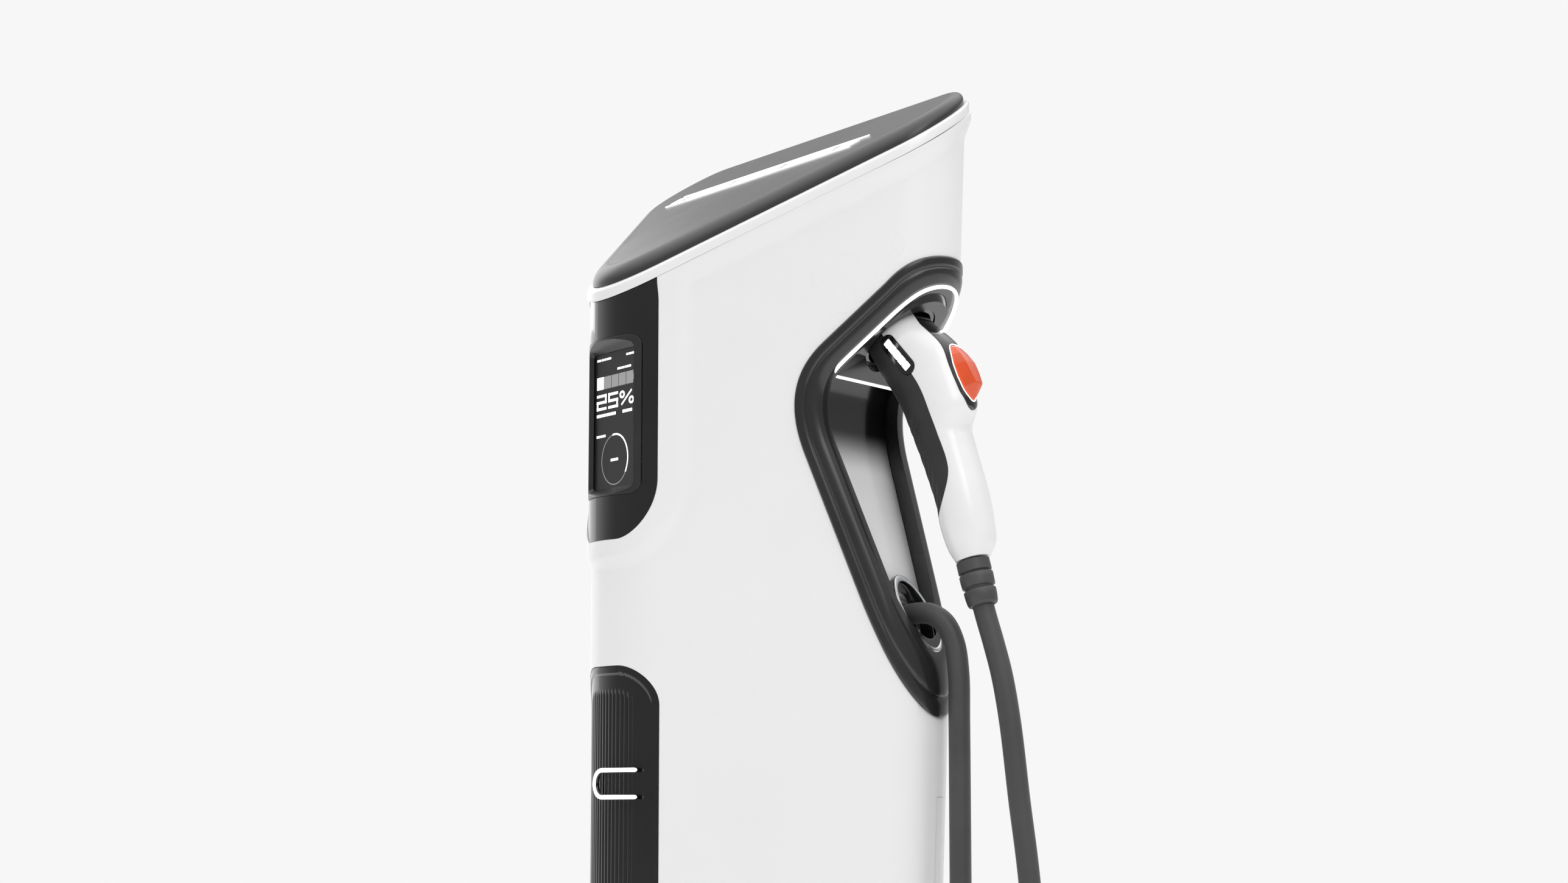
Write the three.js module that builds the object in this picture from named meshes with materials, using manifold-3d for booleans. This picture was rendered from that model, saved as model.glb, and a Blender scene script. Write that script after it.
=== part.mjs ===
// EV charging post: a tapered three-sided housing with a sloping cap, a curved black front with a
// portrait display, and a holster notched into one rear corner that holds a tethered connector.
// Millimetres, +Z up, the front faces -Y, and the origin is on the floor under the middle of the post.

import * as THREE from 'three';
import { mergeVertices, mergeGeometries } from 'three/addons/utils/BufferGeometryUtils.js';
import Module from 'manifold-3d';

const wasm = await Module();
wasm.setup();

const deg = THREE.MathUtils.degToRad;

// ---------------------------------------------------------------- driving dimensions

const GAP = 0.4;                    // between pieces that touch
const SEAM = 0.2;                   // between the housing's two halves
const WALL = 5;                     // thickness of the white housing

// plan: an isosceles triangle with a round nose and two round rear corners
const HALF_APEX = deg(47.2);        // between the middle plane and each side face
const APEX_Y = -188.3;              // where the two side faces would meet
const NOSE_RADIUS = 100;
const CORNER_RADIUS = 60;
const REAR_Y = 151.7;               // rear face at LEAN_Z
const LEAN_Z = 1400;
const LEAN = 0.0245;                // the rear face comes forward by this much per mm going down

// heights
const BASE_TOP = 12;
const PLINTH_TOP = 70;
const SHELL_FOOT = 72;
const CAP_AT_ZERO = 1407;           // height of the cap's flat top at Y = 0
const CAP_SLOPE = 0.65;             // rise of the cap towards the rear
const CAP_ANGLE = Math.atan(CAP_SLOPE);
const CAP_DROP = 17;                // from the flat top down to the cap's underside
const RIM_DROP = 29.5;              // and down to the underside of the white rim
const RIM_REACH = 7;                // how far the rim stands off the faces
const BORDER = 5;                   // how far the raised border stands off the faces
const BORDER_WIDTH = 14;

// black front panel and display
const PANEL_HALF = 70.4;
const PANEL_FOOT = 1016;
const PANEL_BELOW_CAP = 31;
const BEZEL = { halfWidth: 55, bottom: 1063, top: 1233, radius: 14 };
const SCREEN = { halfWidth: 43.5, bottom: 1074, top: 1221, y: -140.3 };

// ribbed front door
const DOOR_HALF = 68;
const DOOR_TOP = 882;
const DOOR_FOOT = 150;
const DOOR_GAP = 1.1;
const DOOR_HINGE = { along: -75.6, offset: 3.2, radius: 2.2 };
const HANDLE_Z = 759.5;

// rear service door
const REAR_DOOR_TOP = 745;
const REAR_DOOR_FOOT = 110;
const REAR_DOOR_LEFT = -150;
const REAR_HINGE = { x: -150.2, offset: 3.5, radius: 2.6 };

// holster: everything here is in the corner frame, x = u outward along the corner's bisector
const TIP_DEPTH = 93;               // from the sharp corner to the rounded tip at CORNER_Z
const CORNER_Z = 1075;              // height at which the corner frame lies on the bisector
const FRAME_WIDTH = 26;
const FRAME_DEPTH = 14;
const LINER_WALL = 5;
const DOCK = { u: -66.9, z: 1226.2, angle: Math.atan2(0.596, 0.803) };
const DOCK_LOW_U = -115;            // inner end of the dock's face
const CUP = { outer: 45, inner: 40.5, depth: 76, squeeze: 0.84 };
const LIGHT_INSET = 15.0;           // the light ring's outer edge, in from the faces
const LIGHT_WIDTH = 3.5;
const OUTLET = { u: -68, z: 932, radius: 30, length: 20 };

// charging cable
const CABLE_RADIUS = 11.25;
const GLAND_BORE = 12.3;
const COIL_MEAN = 115;
const COIL_HALF = 22.8;
const COIL_CENTRE = { u: 96, t: -300 };

// ---------------------------------------------------------------- materials

function finish(color, roughness, metalness = 0) {
  return new THREE.MeshStandardMaterial({ color, roughness, metalness });
}

const WHITE = () => finish(0xeeeeee, 0.28);
const BLACK_GLOSS = () => finish(0x0b0b0c, 0.1);
const DARK_SATIN = () => finish(0x3a3a3b, 0.45);
const CAP_GREY = () => finish(0x5c5c5e, 0.5);
const STEEL = () => finish(0xb4b6b8, 0.35, 0.9);
const RUBBER = () => finish(0x3d3d3e, 0.7);
const LIGHT = () => finish(0xffffff, 0.3);
const RED = () => finish(0xdd4a28, 0.35);
const BOARD = () => finish(0x1f5b38, 0.5);
const ZINC = () => finish(0x9aa0a3, 0.5, 0.8);

// ---------------------------------------------------------------- solids and booleans

function toManifold(geometry) {
  const plain = geometry.clone();
  plain.deleteAttribute('normal');
  plain.deleteAttribute('uv');
  const merged = mergeVertices(plain, 1e-4);
  return new wasm.Manifold(new wasm.Mesh({
    numProp: 3,
    vertProperties: new Float32Array(merged.attributes.position.array),
    triVerts: new Uint32Array(merged.index.array),
  }));
}

function toGeometry(manifold) {
  const mesh = manifold.getMesh();
  const geometry = new THREE.BufferGeometry();
  geometry.setAttribute('position', new THREE.BufferAttribute(new Float32Array(mesh.vertProperties), 3));
  geometry.setIndex(new THREE.BufferAttribute(new Uint32Array(mesh.triVerts), 1));
  return geometry;
}

function combine(how, first, others) {
  let result = toManifold(first);
  for (const other of others) result = result[how](toManifold(other));
  return toGeometry(result);
}

const cut = (first, ...others) => combine('subtract', first, others);
const join = (first, ...others) => combine('add', first, others);
const common = (first, ...others) => combine('intersect', first, others);

function moved(geometry, x, y, z) {
  return geometry.clone().translate(x, y, z);
}

function box(x0, x1, y0, y1, z0, z1) {
  return moved(new THREE.BoxGeometry(x1 - x0, y1 - y0, z1 - z0), (x0 + x1) / 2, (y0 + y1) / 2, (z0 + z1) / 2);
}

// a cylinder along Z that stands on z0
function rod(radius, z0, z1, sides = 24) {
  const geometry = new THREE.CylinderGeometry(radius, radius, z1 - z0, sides);
  return geometry.rotateX(Math.PI / 2).translate(0, 0, (z0 + z1) / 2);
}

// a solid through closed rings of equal length, each seen counter-clockwise from the last one's side
function loft(rings) {
  const count = rings[0].length;
  const positions = rings.flat().flatMap((p) => [p.x, p.y, p.z]);
  const index = [];
  for (let r = 0; r + 1 < rings.length; r++) {
    for (let i = 0; i < count; i++) {
      const a = r * count + i;
      const b = r * count + ((i + 1) % count);
      index.push(a, b, b + count, a, b + count, a + count);
    }
  }
  const last = (rings.length - 1) * count;
  for (let i = 1; i + 1 < count; i++) {
    index.push(0, i + 1, i, last, last + i, last + i + 1);
  }
  const geometry = new THREE.BufferGeometry();
  geometry.setAttribute('position', new THREE.Float32BufferAttribute(positions, 3));
  geometry.setIndex(index);
  return geometry;
}

// ---------------------------------------------------------------- the housing's plan

function arc(cx, cy, radius, from, to, steps) {
  const points = [];
  for (let i = 0; i <= steps; i++) {
    const a = from + ((to - from) * i) / steps;
    points.push(new THREE.Vector2(cx + radius * Math.cos(a), cy + radius * Math.sin(a)));
  }
  return points;
}

const NOSE_Y = APEX_Y + NOSE_RADIUS / Math.sin(HALF_APEX);
const CORNER_HALF = (Math.PI / 2 - HALF_APEX) / 2;

function rearAt(z) {
  return REAR_Y - LEAN * (LEAN_Z - z);
}

function cornerCentre(rear) {
  const x = (rear - APEX_Y) * Math.tan(HALF_APEX) - CORNER_RADIUS / Math.tan(CORNER_HALF);
  return new THREE.Vector2(x, rear - CORNER_RADIUS);
}

// plan outline, counter-clockwise from above, moved outwards by offset
function planOutline(offset, rear) {
  const c = cornerCentre(rear);
  const side = Math.PI / 2 - HALF_APEX;
  return [
    ...arc(0, NOSE_Y, NOSE_RADIUS + offset, -Math.PI / 2 - side, -Math.PI / 2 + side, 14),
    ...arc(c.x, c.y, CORNER_RADIUS + offset, -HALF_APEX, Math.PI / 2, 12),
    ...arc(-c.x, c.y, CORNER_RADIUS + offset, Math.PI / 2, Math.PI + HALF_APEX, 12),
  ];
}

// the housing's volume between two heights, its faces moved outwards by offset
function body(offset, z0 = 0, z1 = 1600) {
  const ring = (z) => planOutline(offset, rearAt(z)).map((p) => new THREE.Vector3(p.x, p.y, z));
  return loft([ring(z0), ring(z1)]);
}

// everything above the plane that lies drop below the cap's flat top, measured upright
function aboveCap(drop) {
  const slab = new THREE.BoxGeometry(1200, 1400, 600).translate(0, 0, 300);
  return slab.rotateX(CAP_ANGLE).translate(0, 0, CAP_AT_ZERO - drop);
}

// ---------------------------------------------------------------- outlines seen from the front

// a strip outline with elliptic corners at its foot and, where topCorner is given, at its top
function stripShape(half, z0, z1, foot, top) {
  const shape = new THREE.Shape();
  const [fx, fz] = foot;
  shape.moveTo(half, z0 + fz);
  if (top) {
    const [tx, tz] = top;
    shape.lineTo(half, z1 - tz);
    shape.absellipse(half - tx, z1 - tz, tx, tz, 0, Math.PI / 2, false, 0);
    shape.absellipse(-half + tx, z1 - tz, tx, tz, Math.PI / 2, Math.PI, false, 0);
  } else {
    shape.lineTo(half, z1);
    shape.lineTo(-half, z1);
  }
  shape.absellipse(-half + fx, z0 + fz, fx, fz, Math.PI, 1.5 * Math.PI, false, 0);
  shape.absellipse(half - fx, z0 + fz, fx, fz, 1.5 * Math.PI, 2 * Math.PI, false, 0);
  return shape;
}

// extrudes a shape drawn in X and Z along Y
function throughY(shape, y0, y1) {
  const geometry = new THREE.ExtrudeGeometry(shape, { depth: y1 - y0, bevelEnabled: false, curveSegments: 6 });
  return geometry.rotateX(Math.PI / 2).translate(0, y1, 0);
}

const panelShape = (grow) =>
  stripShape(PANEL_HALF + grow, PANEL_FOOT - grow, 1500, [45 + grow, 62 + grow], null);
const doorShape = (grow) =>
  stripShape(DOOR_HALF + grow, DOOR_FOOT - grow, DOOR_TOP + grow, [45 + grow, 42 + grow], [45 + grow, 42 + grow]);
const bezelShape = (grow) => {
  const r = BEZEL.radius + grow;
  return stripShape(BEZEL.halfWidth + grow, BEZEL.bottom - grow, BEZEL.top + grow, [r, r], [r, r]);
};

// ---------------------------------------------------------------- corner frame of the holster

const CORNER_REAR = rearAt(CORNER_Z);
const SHARP_CORNER = new THREE.Vector2((CORNER_REAR - APEX_Y) * Math.tan(HALF_APEX), CORNER_REAR);
const CORNER_ORIGIN = {
  x: SHARP_CORNER.x - TIP_DEPTH * Math.cos(CORNER_HALF),
  y: SHARP_CORNER.y - TIP_DEPTH * Math.sin(CORNER_HALF),
};

// carries a geometry from the corner frame (u outward, t to the rear, z up) to the post's frame
function fromCorner(geometry) {
  return geometry.clone().rotateZ(CORNER_HALF).translate(CORNER_ORIGIN.x, CORNER_ORIGIN.y, 0);
}

function cornerPoint(u, t, z) {
  const c = Math.cos(CORNER_HALF);
  const s = Math.sin(CORNER_HALF);
  return new THREE.Vector3(CORNER_ORIGIN.x + u * c - t * s, CORNER_ORIGIN.y + u * s + t * c, z);
}

// the notch's edge in (u, z), from the top of the corner round the vertex and down to its foot
function notchPath() {
  const path = new THREE.Path();
  path.moveTo(60, 1310);
  path.lineTo(10, 1310);
  path.quadraticCurveTo(-22, 1307, -50, 1276);
  path.lineTo(-112, 1216);
  path.bezierCurveTo(-142, 1187, -148, 1150, -131, 1101);
  path.lineTo(-76, 949);
  path.quadraticCurveTo(-52, 883, 0, 790);
  path.lineTo(34, 729);
  return path;
}

// a prism along t that holds the notch's opening, its edge moved into the opening by inset
function notch(inset, halfWidth = 260) {
  const samples = notchPath().getPoints(8);
  const ring = samples.map((p, i) => {
    const before = samples[Math.max(i - 1, 0)];
    const after = samples[Math.min(i + 1, samples.length - 1)];
    const along = after.clone().sub(before).normalize();
    return new THREE.Vector2(p.x - along.y * inset, p.y + along.x * inset);
  });
  ring.push(new THREE.Vector2(120, ring[ring.length - 1].y - 60), new THREE.Vector2(120, ring[0].y));
  return throughT(new THREE.Shape(ring), halfWidth);
}

// extrudes a shape drawn in u and z along t, both ways from the bisector plane
function throughT(shape, halfWidth) {
  return fromCorner(throughY(shape, -halfWidth, halfWidth));
}

// places a geometry built along +Z so that it points out of the dock, from the socket's mouth
function fromDock(geometry) {
  return fromCorner(geometry.clone().rotateY(Math.PI - DOCK.angle).translate(DOCK.u, 0, DOCK.z));
}

// ---------------------------------------------------------------- assembly

const post = new THREE.Group();

function add(name, geometry, material, parent = post) {
  const mesh = new THREE.Mesh(geometry, material);
  mesh.name = name;
  parent.add(mesh);
  return mesh;
}

function addFoot() {
  const flange = (offset, z0, z1) => body(offset, z0, z1);
  const cableSlot = box(-45, 45, -20, 60, -5, BASE_TOP + 5);
  add('base_plate', cut(flange(-2, 0, BASE_TOP), cableSlot), STEEL());
  const ring = cut(flange(-9, BASE_TOP + GAP, PLINTH_TOP), flange(-17, 0, PLINTH_TOP + 5));
  add('plinth_ring', ring, DARK_SATIN());

  const places = [[-95, 70], [95, 70], [0, -95], [0, 80]];
  places.forEach(([x, y], i) => {
    const bolt = join(rod(12, 0, 12, 6), rod(6, 1, 30, 12));
    const mesh = add(`anchor_bolt_${i + 1}`, bolt, STEEL());
    mesh.position.set(x, y, BASE_TOP + GAP);
  });
}

function addShell() {
  const raised = common(
    body(BORDER, PANEL_FOOT - 60, 1600),
    join(throughY(panelShape(BORDER_WIDTH), -400, -100), aboveCap(PANEL_BELOW_CAP + 16)),
  );
  const outer = join(body(0, SHELL_FOOT, 1600), raised);
  const rearDoorHole = rearDoorVolume(GAP, body(20, REAR_DOOR_FOOT - GAP, REAR_DOOR_TOP + GAP));
  const shell = cut(
    outer,
    body(-WALL, 0, 1700),
    aboveCap(RIM_DROP + GAP),
    throughY(panelShape(GAP), -400, -100),
    throughY(doorShape(DOOR_GAP), -400, -100),
    notch(0),
    rearDoorHole,
  );
  // the housing is moulded as two halves that meet in the middle plane
  add('shell_left', common(shell, box(-400, -SEAM / 2, -400, 400, 0, 1700)), WHITE());
  add('shell_right', common(shell, box(SEAM / 2, 400, -400, 400, 0, 1700)), WHITE());
}

// a solid through sloping sections, each an outline moved out by offset and drop below the flat top
function slopingLoft(sections) {
  return loft(sections.map(([offset, drop]) => planOutline(offset, REAR_Y)
    .map((p) => new THREE.Vector3(p.x, p.y, CAP_AT_ZERO + CAP_SLOPE * p.y - drop))));
}

function addCap() {
  add('cap_plate', slopingLoft([[1, CAP_DROP], [1, 12], [-1, 6], [-4.5, 2], [-9, 0]]), CAP_GREY());
  const rim = cut(
    slopingLoft([[BORDER, RIM_DROP], [RIM_REACH, RIM_DROP - 6], [RIM_REACH, CAP_DROP + GAP]]),
    slopingLoft([[-14, RIM_DROP + 20], [-14, 0]]),
  );
  add('top_rim', rim, WHITE());

  const emblem = new THREE.Group();
  emblem.rotation.x = CAP_ANGLE;
  emblem.position.set(0, 0, CAP_AT_ZERO);
  post.add(emblem);
  const bar = new THREE.Shape([
    new THREE.Vector2(-195, 48), new THREE.Vector2(180, 48),
    new THREE.Vector2(190, 76), new THREE.Vector2(-185, 76),
  ]);
  const plate = new THREE.ExtrudeGeometry(bar, { depth: 2, bevelEnabled: false });
  add('cap_light_bar', plate.translate(0, 0, GAP), LIGHT(), emblem);
}

function addFrontPanel() {
  const skin = cut(body(BORDER - 1.5, 900, 1600), body(0.5, 800, 1700));
  const outline = common(skin, throughY(panelShape(0), -400, -100));
  const panel = cut(outline, aboveCap(PANEL_BELOW_CAP), throughY(bezelShape(GAP), -400, -100));
  add('front_panel', panel, BLACK_GLOSS());

  const inner = (grow) => box(
    -SCREEN.halfWidth - grow, SCREEN.halfWidth + grow, SCREEN.y - 1, SCREEN.y,
    SCREEN.bottom - grow, SCREEN.top + grow,
  );
  const rectangle = (half, z0, z1, y) => [
    new THREE.Vector3(-half, y, z0), new THREE.Vector3(half, y, z0),
    new THREE.Vector3(half, y, z1), new THREE.Vector3(-half, y, z1),
  ];
  const funnel = loft([
    rectangle(SCREEN.halfWidth, SCREEN.bottom, SCREEN.top, SCREEN.y + 10),
    rectangle(SCREEN.halfWidth, SCREEN.bottom, SCREEN.top, SCREEN.y - 1),
    rectangle(BEZEL.halfWidth - 2, BEZEL.bottom + 2, BEZEL.top - 2, -170),
  ]);
  const outer = common(body(BORDER - 1, 1000, 1300), throughY(bezelShape(0), -400, SCREEN.y));
  add('display_bezel', cut(outer, funnel), DARK_SATIN());
  add('display_glass', moved(inner(4), 0, 1 + GAP, 0), BLACK_GLOSS());
  const module = box(-50, 50, SCREEN.y + 1 + 2 * GAP, SCREEN.y + 18, SCREEN.bottom - 6, SCREEN.top + 6);
  add('display_module', module, ZINC());
  add('card_reader', box(-40, 40, -134, -126, 1245, 1275), BOARD());
}

// a tube of sides faces along a curve
function tube(curve, radius, steps, sides = 10) {
  const circle = new THREE.Shape(arc(0, 0, radius, 0, 2 * Math.PI, sides).slice(0, sides));
  return new THREE.ExtrudeGeometry(circle, { steps, bevelEnabled: false, extrudePath: curve });
}

// a point on the nose at an arc length from the middle plane
function nosePoint(along, offset, z) {
  const a = along / NOSE_RADIUS;
  const r = NOSE_RADIUS + offset;
  return new THREE.Vector3(r * Math.sin(a), NOSE_Y - r * Math.cos(a), z);
}

function addFrontDoor() {
  const skin = cut(body(-0.5, 100, 1000), body(-4.5, 50, 1100));
  add('front_door', common(skin, throughY(doorShape(0), -400, -90)), BLACK_GLOSS());

  const points = [];
  for (const along of [54, 34, 17]) points.push(nosePoint(along, 5, HANDLE_Z + 14));
  for (const a of [60, 20, -20, -60]) {
    points.push(nosePoint(8 - 13 * Math.cos(deg(a)), 5, HANDLE_Z + 14 * Math.sin(deg(a))));
  }
  for (const along of [17, 34, 54]) points.push(nosePoint(along, 5, HANDLE_Z - 14));
  add('door_light_handle', tube(new THREE.CatmullRomCurve3(points), 3.2, 30, 8), LIGHT());

  for (const [name, z] of [['door_hinge_pin_low', 240], ['door_hinge_pin_high', 590]]) {
    const pin = add(name, rod(DOOR_HINGE.radius, -20, 20, 12), STEEL());
    pin.position.copy(nosePoint(DOOR_HINGE.along, DOOR_HINGE.offset, z));
  }
}

// the part of a volume behind the corners' tips and beyond the hinge line
function rearDoorVolume(grow, volume) {
  const x0 = REAR_DOOR_LEFT - grow;
  const foot = cornerCentre(rearAt(0));
  const high = cornerCentre(rearAt(1000));
  const slice = (c, z) => {
    const tip = CORNER_RADIUS + 30;
    const along = new THREE.Vector2(Math.cos(CORNER_HALF), Math.sin(CORNER_HALF));
    const back = c.clone().addScaledVector(along, tip).add(new THREE.Vector2(grow * along.y, -grow * along.x));
    const front = c.clone().add(new THREE.Vector2(grow * along.y, -grow * along.x));
    return [
      new THREE.Vector3(x0, front.y, z), new THREE.Vector3(front.x, front.y, z),
      new THREE.Vector3(back.x, back.y, z), new THREE.Vector3(back.x, back.y + 200, z),
      new THREE.Vector3(x0, back.y + 200, z),
    ];
  };
  return common(volume, loft([slice(foot, 0), slice(high, 1000)]));
}

function addRearDoor() {
  const skin = cut(body(0, REAR_DOOR_FOOT, REAR_DOOR_TOP), body(-4, 0, 1100));
  const keyHole = rod(9.5, -40, 40, 20).rotateX(Math.PI / 2);
  const lockPlace = { x: 0, z: 720 };
  const lockY = rearAt(lockPlace.z);
  const hole = keyHole.clone().translate(lockPlace.x, lockY, lockPlace.z);
  add('rear_door', cut(rearDoorVolume(0, skin), hole), WHITE());
  const cam = join(
    rod(9, 0, 8, 20).rotateX(Math.PI / 2),
    box(-6, 6, -15, -12, -6, 34),
    rod(6, -13, 0, 16).rotateX(Math.PI / 2).translate(0, -13, 0),
  );
  const lock = add('rear_lock_cam', cam, STEEL());
  lock.position.set(lockPlace.x, lockY + 1.5, lockPlace.z);

  const pins = [['rear_hinge_pin_low', 200], ['rear_hinge_pin_high', 640]];
  for (const [name, z] of pins) {
    const pin = add(name, rod(REAR_HINGE.radius, -25, 25, 12), STEEL());
    pin.position.set(REAR_HINGE.x, rearAt(z) + REAR_HINGE.offset, z);
    pin.rotation.x = -Math.atan(LEAN);
  }
}

function addHolster() {
  const ring = cut(notch(GAP), notch(FRAME_WIDTH));
  const band = common(ring, cut(body(2.5, 700, 1400), body(-FRAME_DEPTH, 600, 1500)));
  const cupHole = fromDock(rod(CUP.outer + GAP, -120, 60, 32).scale(1, CUP.squeeze + 0.01, 1));
  add('holster_frame', cut(band, cupHole), DARK_SATIN());

  const inside = body(-FRAME_DEPTH - GAP, 700, 1400);
  const wall = common(inside, cut(notch(GAP), notch(GAP + LINER_WALL)));
  const outletHole = outletPiece(rod(OUTLET.radius - 6, -60, 60, 24));
  add('holster_liner', cut(wall, cupHole, outletHole), BLACK_GLOSS());

  const dockZ = (u) => DOCK.z + (u - DOCK.u) * Math.tan(DOCK.angle);
  const above = new THREE.Shape([
    new THREE.Vector2(DOCK_LOW_U, dockZ(DOCK_LOW_U)), new THREE.Vector2(60, dockZ(60)),
    new THREE.Vector2(60, 1420), new THREE.Vector2(DOCK_LOW_U, 1420),
  ]);
  const block = common(inside, notch(2 * GAP + LINER_WALL), throughT(above, 260));
  add('holster_dock', cut(block, cupHole, lightRing(GAP, -5, 10)), DARK_SATIN());
  add('dock_light_ring', lightRing(0, -4.5, 0.8), LIGHT());

  const cup = new THREE.LatheGeometry([
    [0, -CUP.depth], [CUP.outer, -CUP.depth], [CUP.outer, -1.5], [CUP.inner, -1.5],
    [CUP.inner, -CUP.depth + 5], [0, -CUP.depth + 5],
  ].map(([r, z]) => new THREE.Vector2(r, z)), 32).rotateX(Math.PI / 2).scale(1, CUP.squeeze, 1);
  const pinHole = rod(4.4, -80, 0, 16).rotateX(-Math.PI / 2).translate(0, 0, -40);
  add('holster_socket', fromDock(cut(cup, pinHole)), BLACK_GLOSS());
  const latch = rod(4, 0, 16, 16).rotateX(-Math.PI / 2).translate(0, -CUP.outer * CUP.squeeze - 12, -40);
  add('holster_latch_pin', fromDock(latch), STEEL());
}

// a ring in the dock's face that follows the faces and the corner, between two depths of the face
function lightRing(grow, low, high) {
  const region = (inset, u) => common(
    body(-inset, 1000, 1400),
    throughT(new THREE.Shape([
      new THREE.Vector2(u, 1000), new THREE.Vector2(90, 1000), new THREE.Vector2(90, 1400), new THREE.Vector2(u, 1400),
    ]), 260),
  );
  const outer = region(LIGHT_INSET - grow, DOCK_LOW_U + 3 - grow);
  const inner = region(LIGHT_INSET + LIGHT_WIDTH + grow, DOCK_LOW_U + 3 + LIGHT_WIDTH + grow);
  return common(fromDock(box(-200, 200, -200, 200, low, high)), cut(outer, inner));
}

// places a geometry built along +Z so that it points out of the holster's cable outlet
function outletPiece(geometry) {
  return fromCorner(geometry.clone().rotateY(deg(80)).translate(OUTLET.u, 0, OUTLET.z));
}

function addOutlet() {
  const { radius, length } = OUTLET;
  const sleeve = new THREE.LatheGeometry([
    [radius - 6, 3], [radius, 3], [radius, length], [radius - 5, length], [radius - 5, 9], [radius - 6, 9],
    [radius - 6, 3],
  ].map(([r, z]) => new THREE.Vector2(r, z)), 28).rotateX(Math.PI / 2);
  const insideFrame = join(body(-FRAME_DEPTH - GAP, 700, 1400), notch(FRAME_WIDTH + GAP));
  const offLiner = notch(GAP * 2 + LINER_WALL);
  add('outlet_sleeve', common(outletPiece(sleeve), insideFrame, offLiner), BLACK_GLOSS());
  const ring = new THREE.TorusGeometry(radius - 2.5, 2.2, 8, 28);
  add('outlet_ring', outletPiece(ring.translate(0, 0, length + 2.2 + GAP)), STEEL());
  const gland = new THREE.LatheGeometry([
    [GLAND_BORE, -30], [24, -30], [24, -8], [17, 4], [GLAND_BORE, 6], [GLAND_BORE, -30],
  ].map(([r, z]) => new THREE.Vector2(r, z)), 24).rotateX(Math.PI / 2);
  add('cable_gland', outletPiece(gland), RUBBER());
}

// ---------------------------------------------------------------- connector

// stations along the connector: its inner edge (u, z), its outer edge (u, z) and half its thickness
const STATIONS = [
  [-104.9, 1225.5, -55.1, 1262.5, 27], [-100.1, 1212.1, -43.9, 1253.9, 29.5], [-90.3, 1195.8, -27, 1238.3, 31],
  [-82, 1182.6, 0, 1214.5, 31], [-70, 1165, 10.5, 1189, 30.5], [-58.5, 1145.6, 18.5, 1165, 29.5],
  [-52.5, 1131, 22, 1150, 28.5], [-46.5, 1118, 15, 1128, 28], [-37, 1095.2, 18, 1112.8, 27.5],
  [-27, 1069.4, 26, 1086.6, 27.5], [-18, 1044.2, 34, 1059.8, 28], [-12.5, 1019.4, 39.8, 1033.4, 27.5],
  [-4, 995.5, 43, 1008, 23.5], [3.5, 983.5, 37.5, 992.5, 17.5],
];

function connectorBody(grow) {
  const rings = STATIONS.map(([innerU, innerZ, outerU, outerZ, c]) => {
    const [u, z] = [(innerU + outerU) / 2, (innerZ + outerZ) / 2];
    const a = Math.hypot(outerU - innerU, outerZ - innerZ) / 2;
    const lean = Math.atan2(outerZ - innerZ, outerU - innerU);
    const ring = [];
    for (let k = 0; k < 20; k++) {
      const angle = (2 * Math.PI * k) / 20;
      const cosine = Math.cos(angle);
      const sine = Math.sin(angle);
      const x = (a + grow) * Math.sign(cosine) * Math.abs(cosine) ** 0.85;
      const t = (c + grow) * Math.sign(sine) * Math.abs(sine) ** 0.85;
      ring.push(new THREE.Vector3(u + x * Math.cos(lean), t, z + x * Math.sin(lean)));
    }
    return ring;
  });
  return fromCorner(loft(rings.reverse()));
}

function gripRegion(grow) {
  const shape = new THREE.Shape([
    [-150, 1260], [-68, 1225], [-46, 1199], [-33, 1181], [-24, 1166], [-14.5, 1142], [-4.5, 1115],
    [4, 1093], [7, 1078], [5, 1063], [-2.5, 1042], [-12, 1026], [-30, 1012], [-150, 1000],
  ].map(([u, z]) => new THREE.Vector2(u + grow, z + (u === -150 ? 0 : grow * 0.3))));
  return throughT(shape, 80);
}

// the finger key's frame: x stands off the connector's outer side and z runs up along it
const KEY = { u: 9.5, z: 1184, tilt: deg(-19.5) };
const PILL = { u: -51.3, z: 1203.8, tilt: deg(-41.5) };

// half widths of the black strip and of the key at heights along the key's frame
const STRIP_EDGE = [
  [-42, 3], [-40, 7], [-37, 10.6], [-30, 13.6], [-23, 15.7], [-4, 17.7], [14, 18.4], [39, 18.2], [64, 17.2],
  [85, 12.4], [92, 9],
];
const KEY_EDGE = [
  [-33.4, 2], [-31, 5], [-27, 8], [-20, 10.8], [-7, 13], [8.5, 13.4], [21, 12.4], [28, 11.6], [29.6, 10.4],
];

const onKey = (geometry) => fromCorner(geometry.clone().rotateY(KEY.tilt).translate(KEY.u, 0, KEY.z));
const onPill = (geometry) => fromCorner(geometry.clone().rotateY(PILL.tilt).translate(PILL.u, 0, PILL.z));

// a plate along x with one of the outlines above
function edgePlate(edge, grow, x0, x1) {
  const rows = edge.map(([z, half], i) => [half + grow, z + (i === 0 ? -grow : i === edge.length - 1 ? grow : 0)]);
  const outline = [...rows, ...rows.slice().reverse().map(([half, z]) => [-half, z])];
  const shape = new THREE.Shape(outline.map(([t, z]) => new THREE.Vector2(t, z)));
  const geometry = new THREE.ExtrudeGeometry(shape, { depth: x1 - x0, bevelEnabled: false });
  return geometry.rotateX(Math.PI / 2).rotateZ(Math.PI / 2).translate(x0, 0, 0);
}

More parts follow.
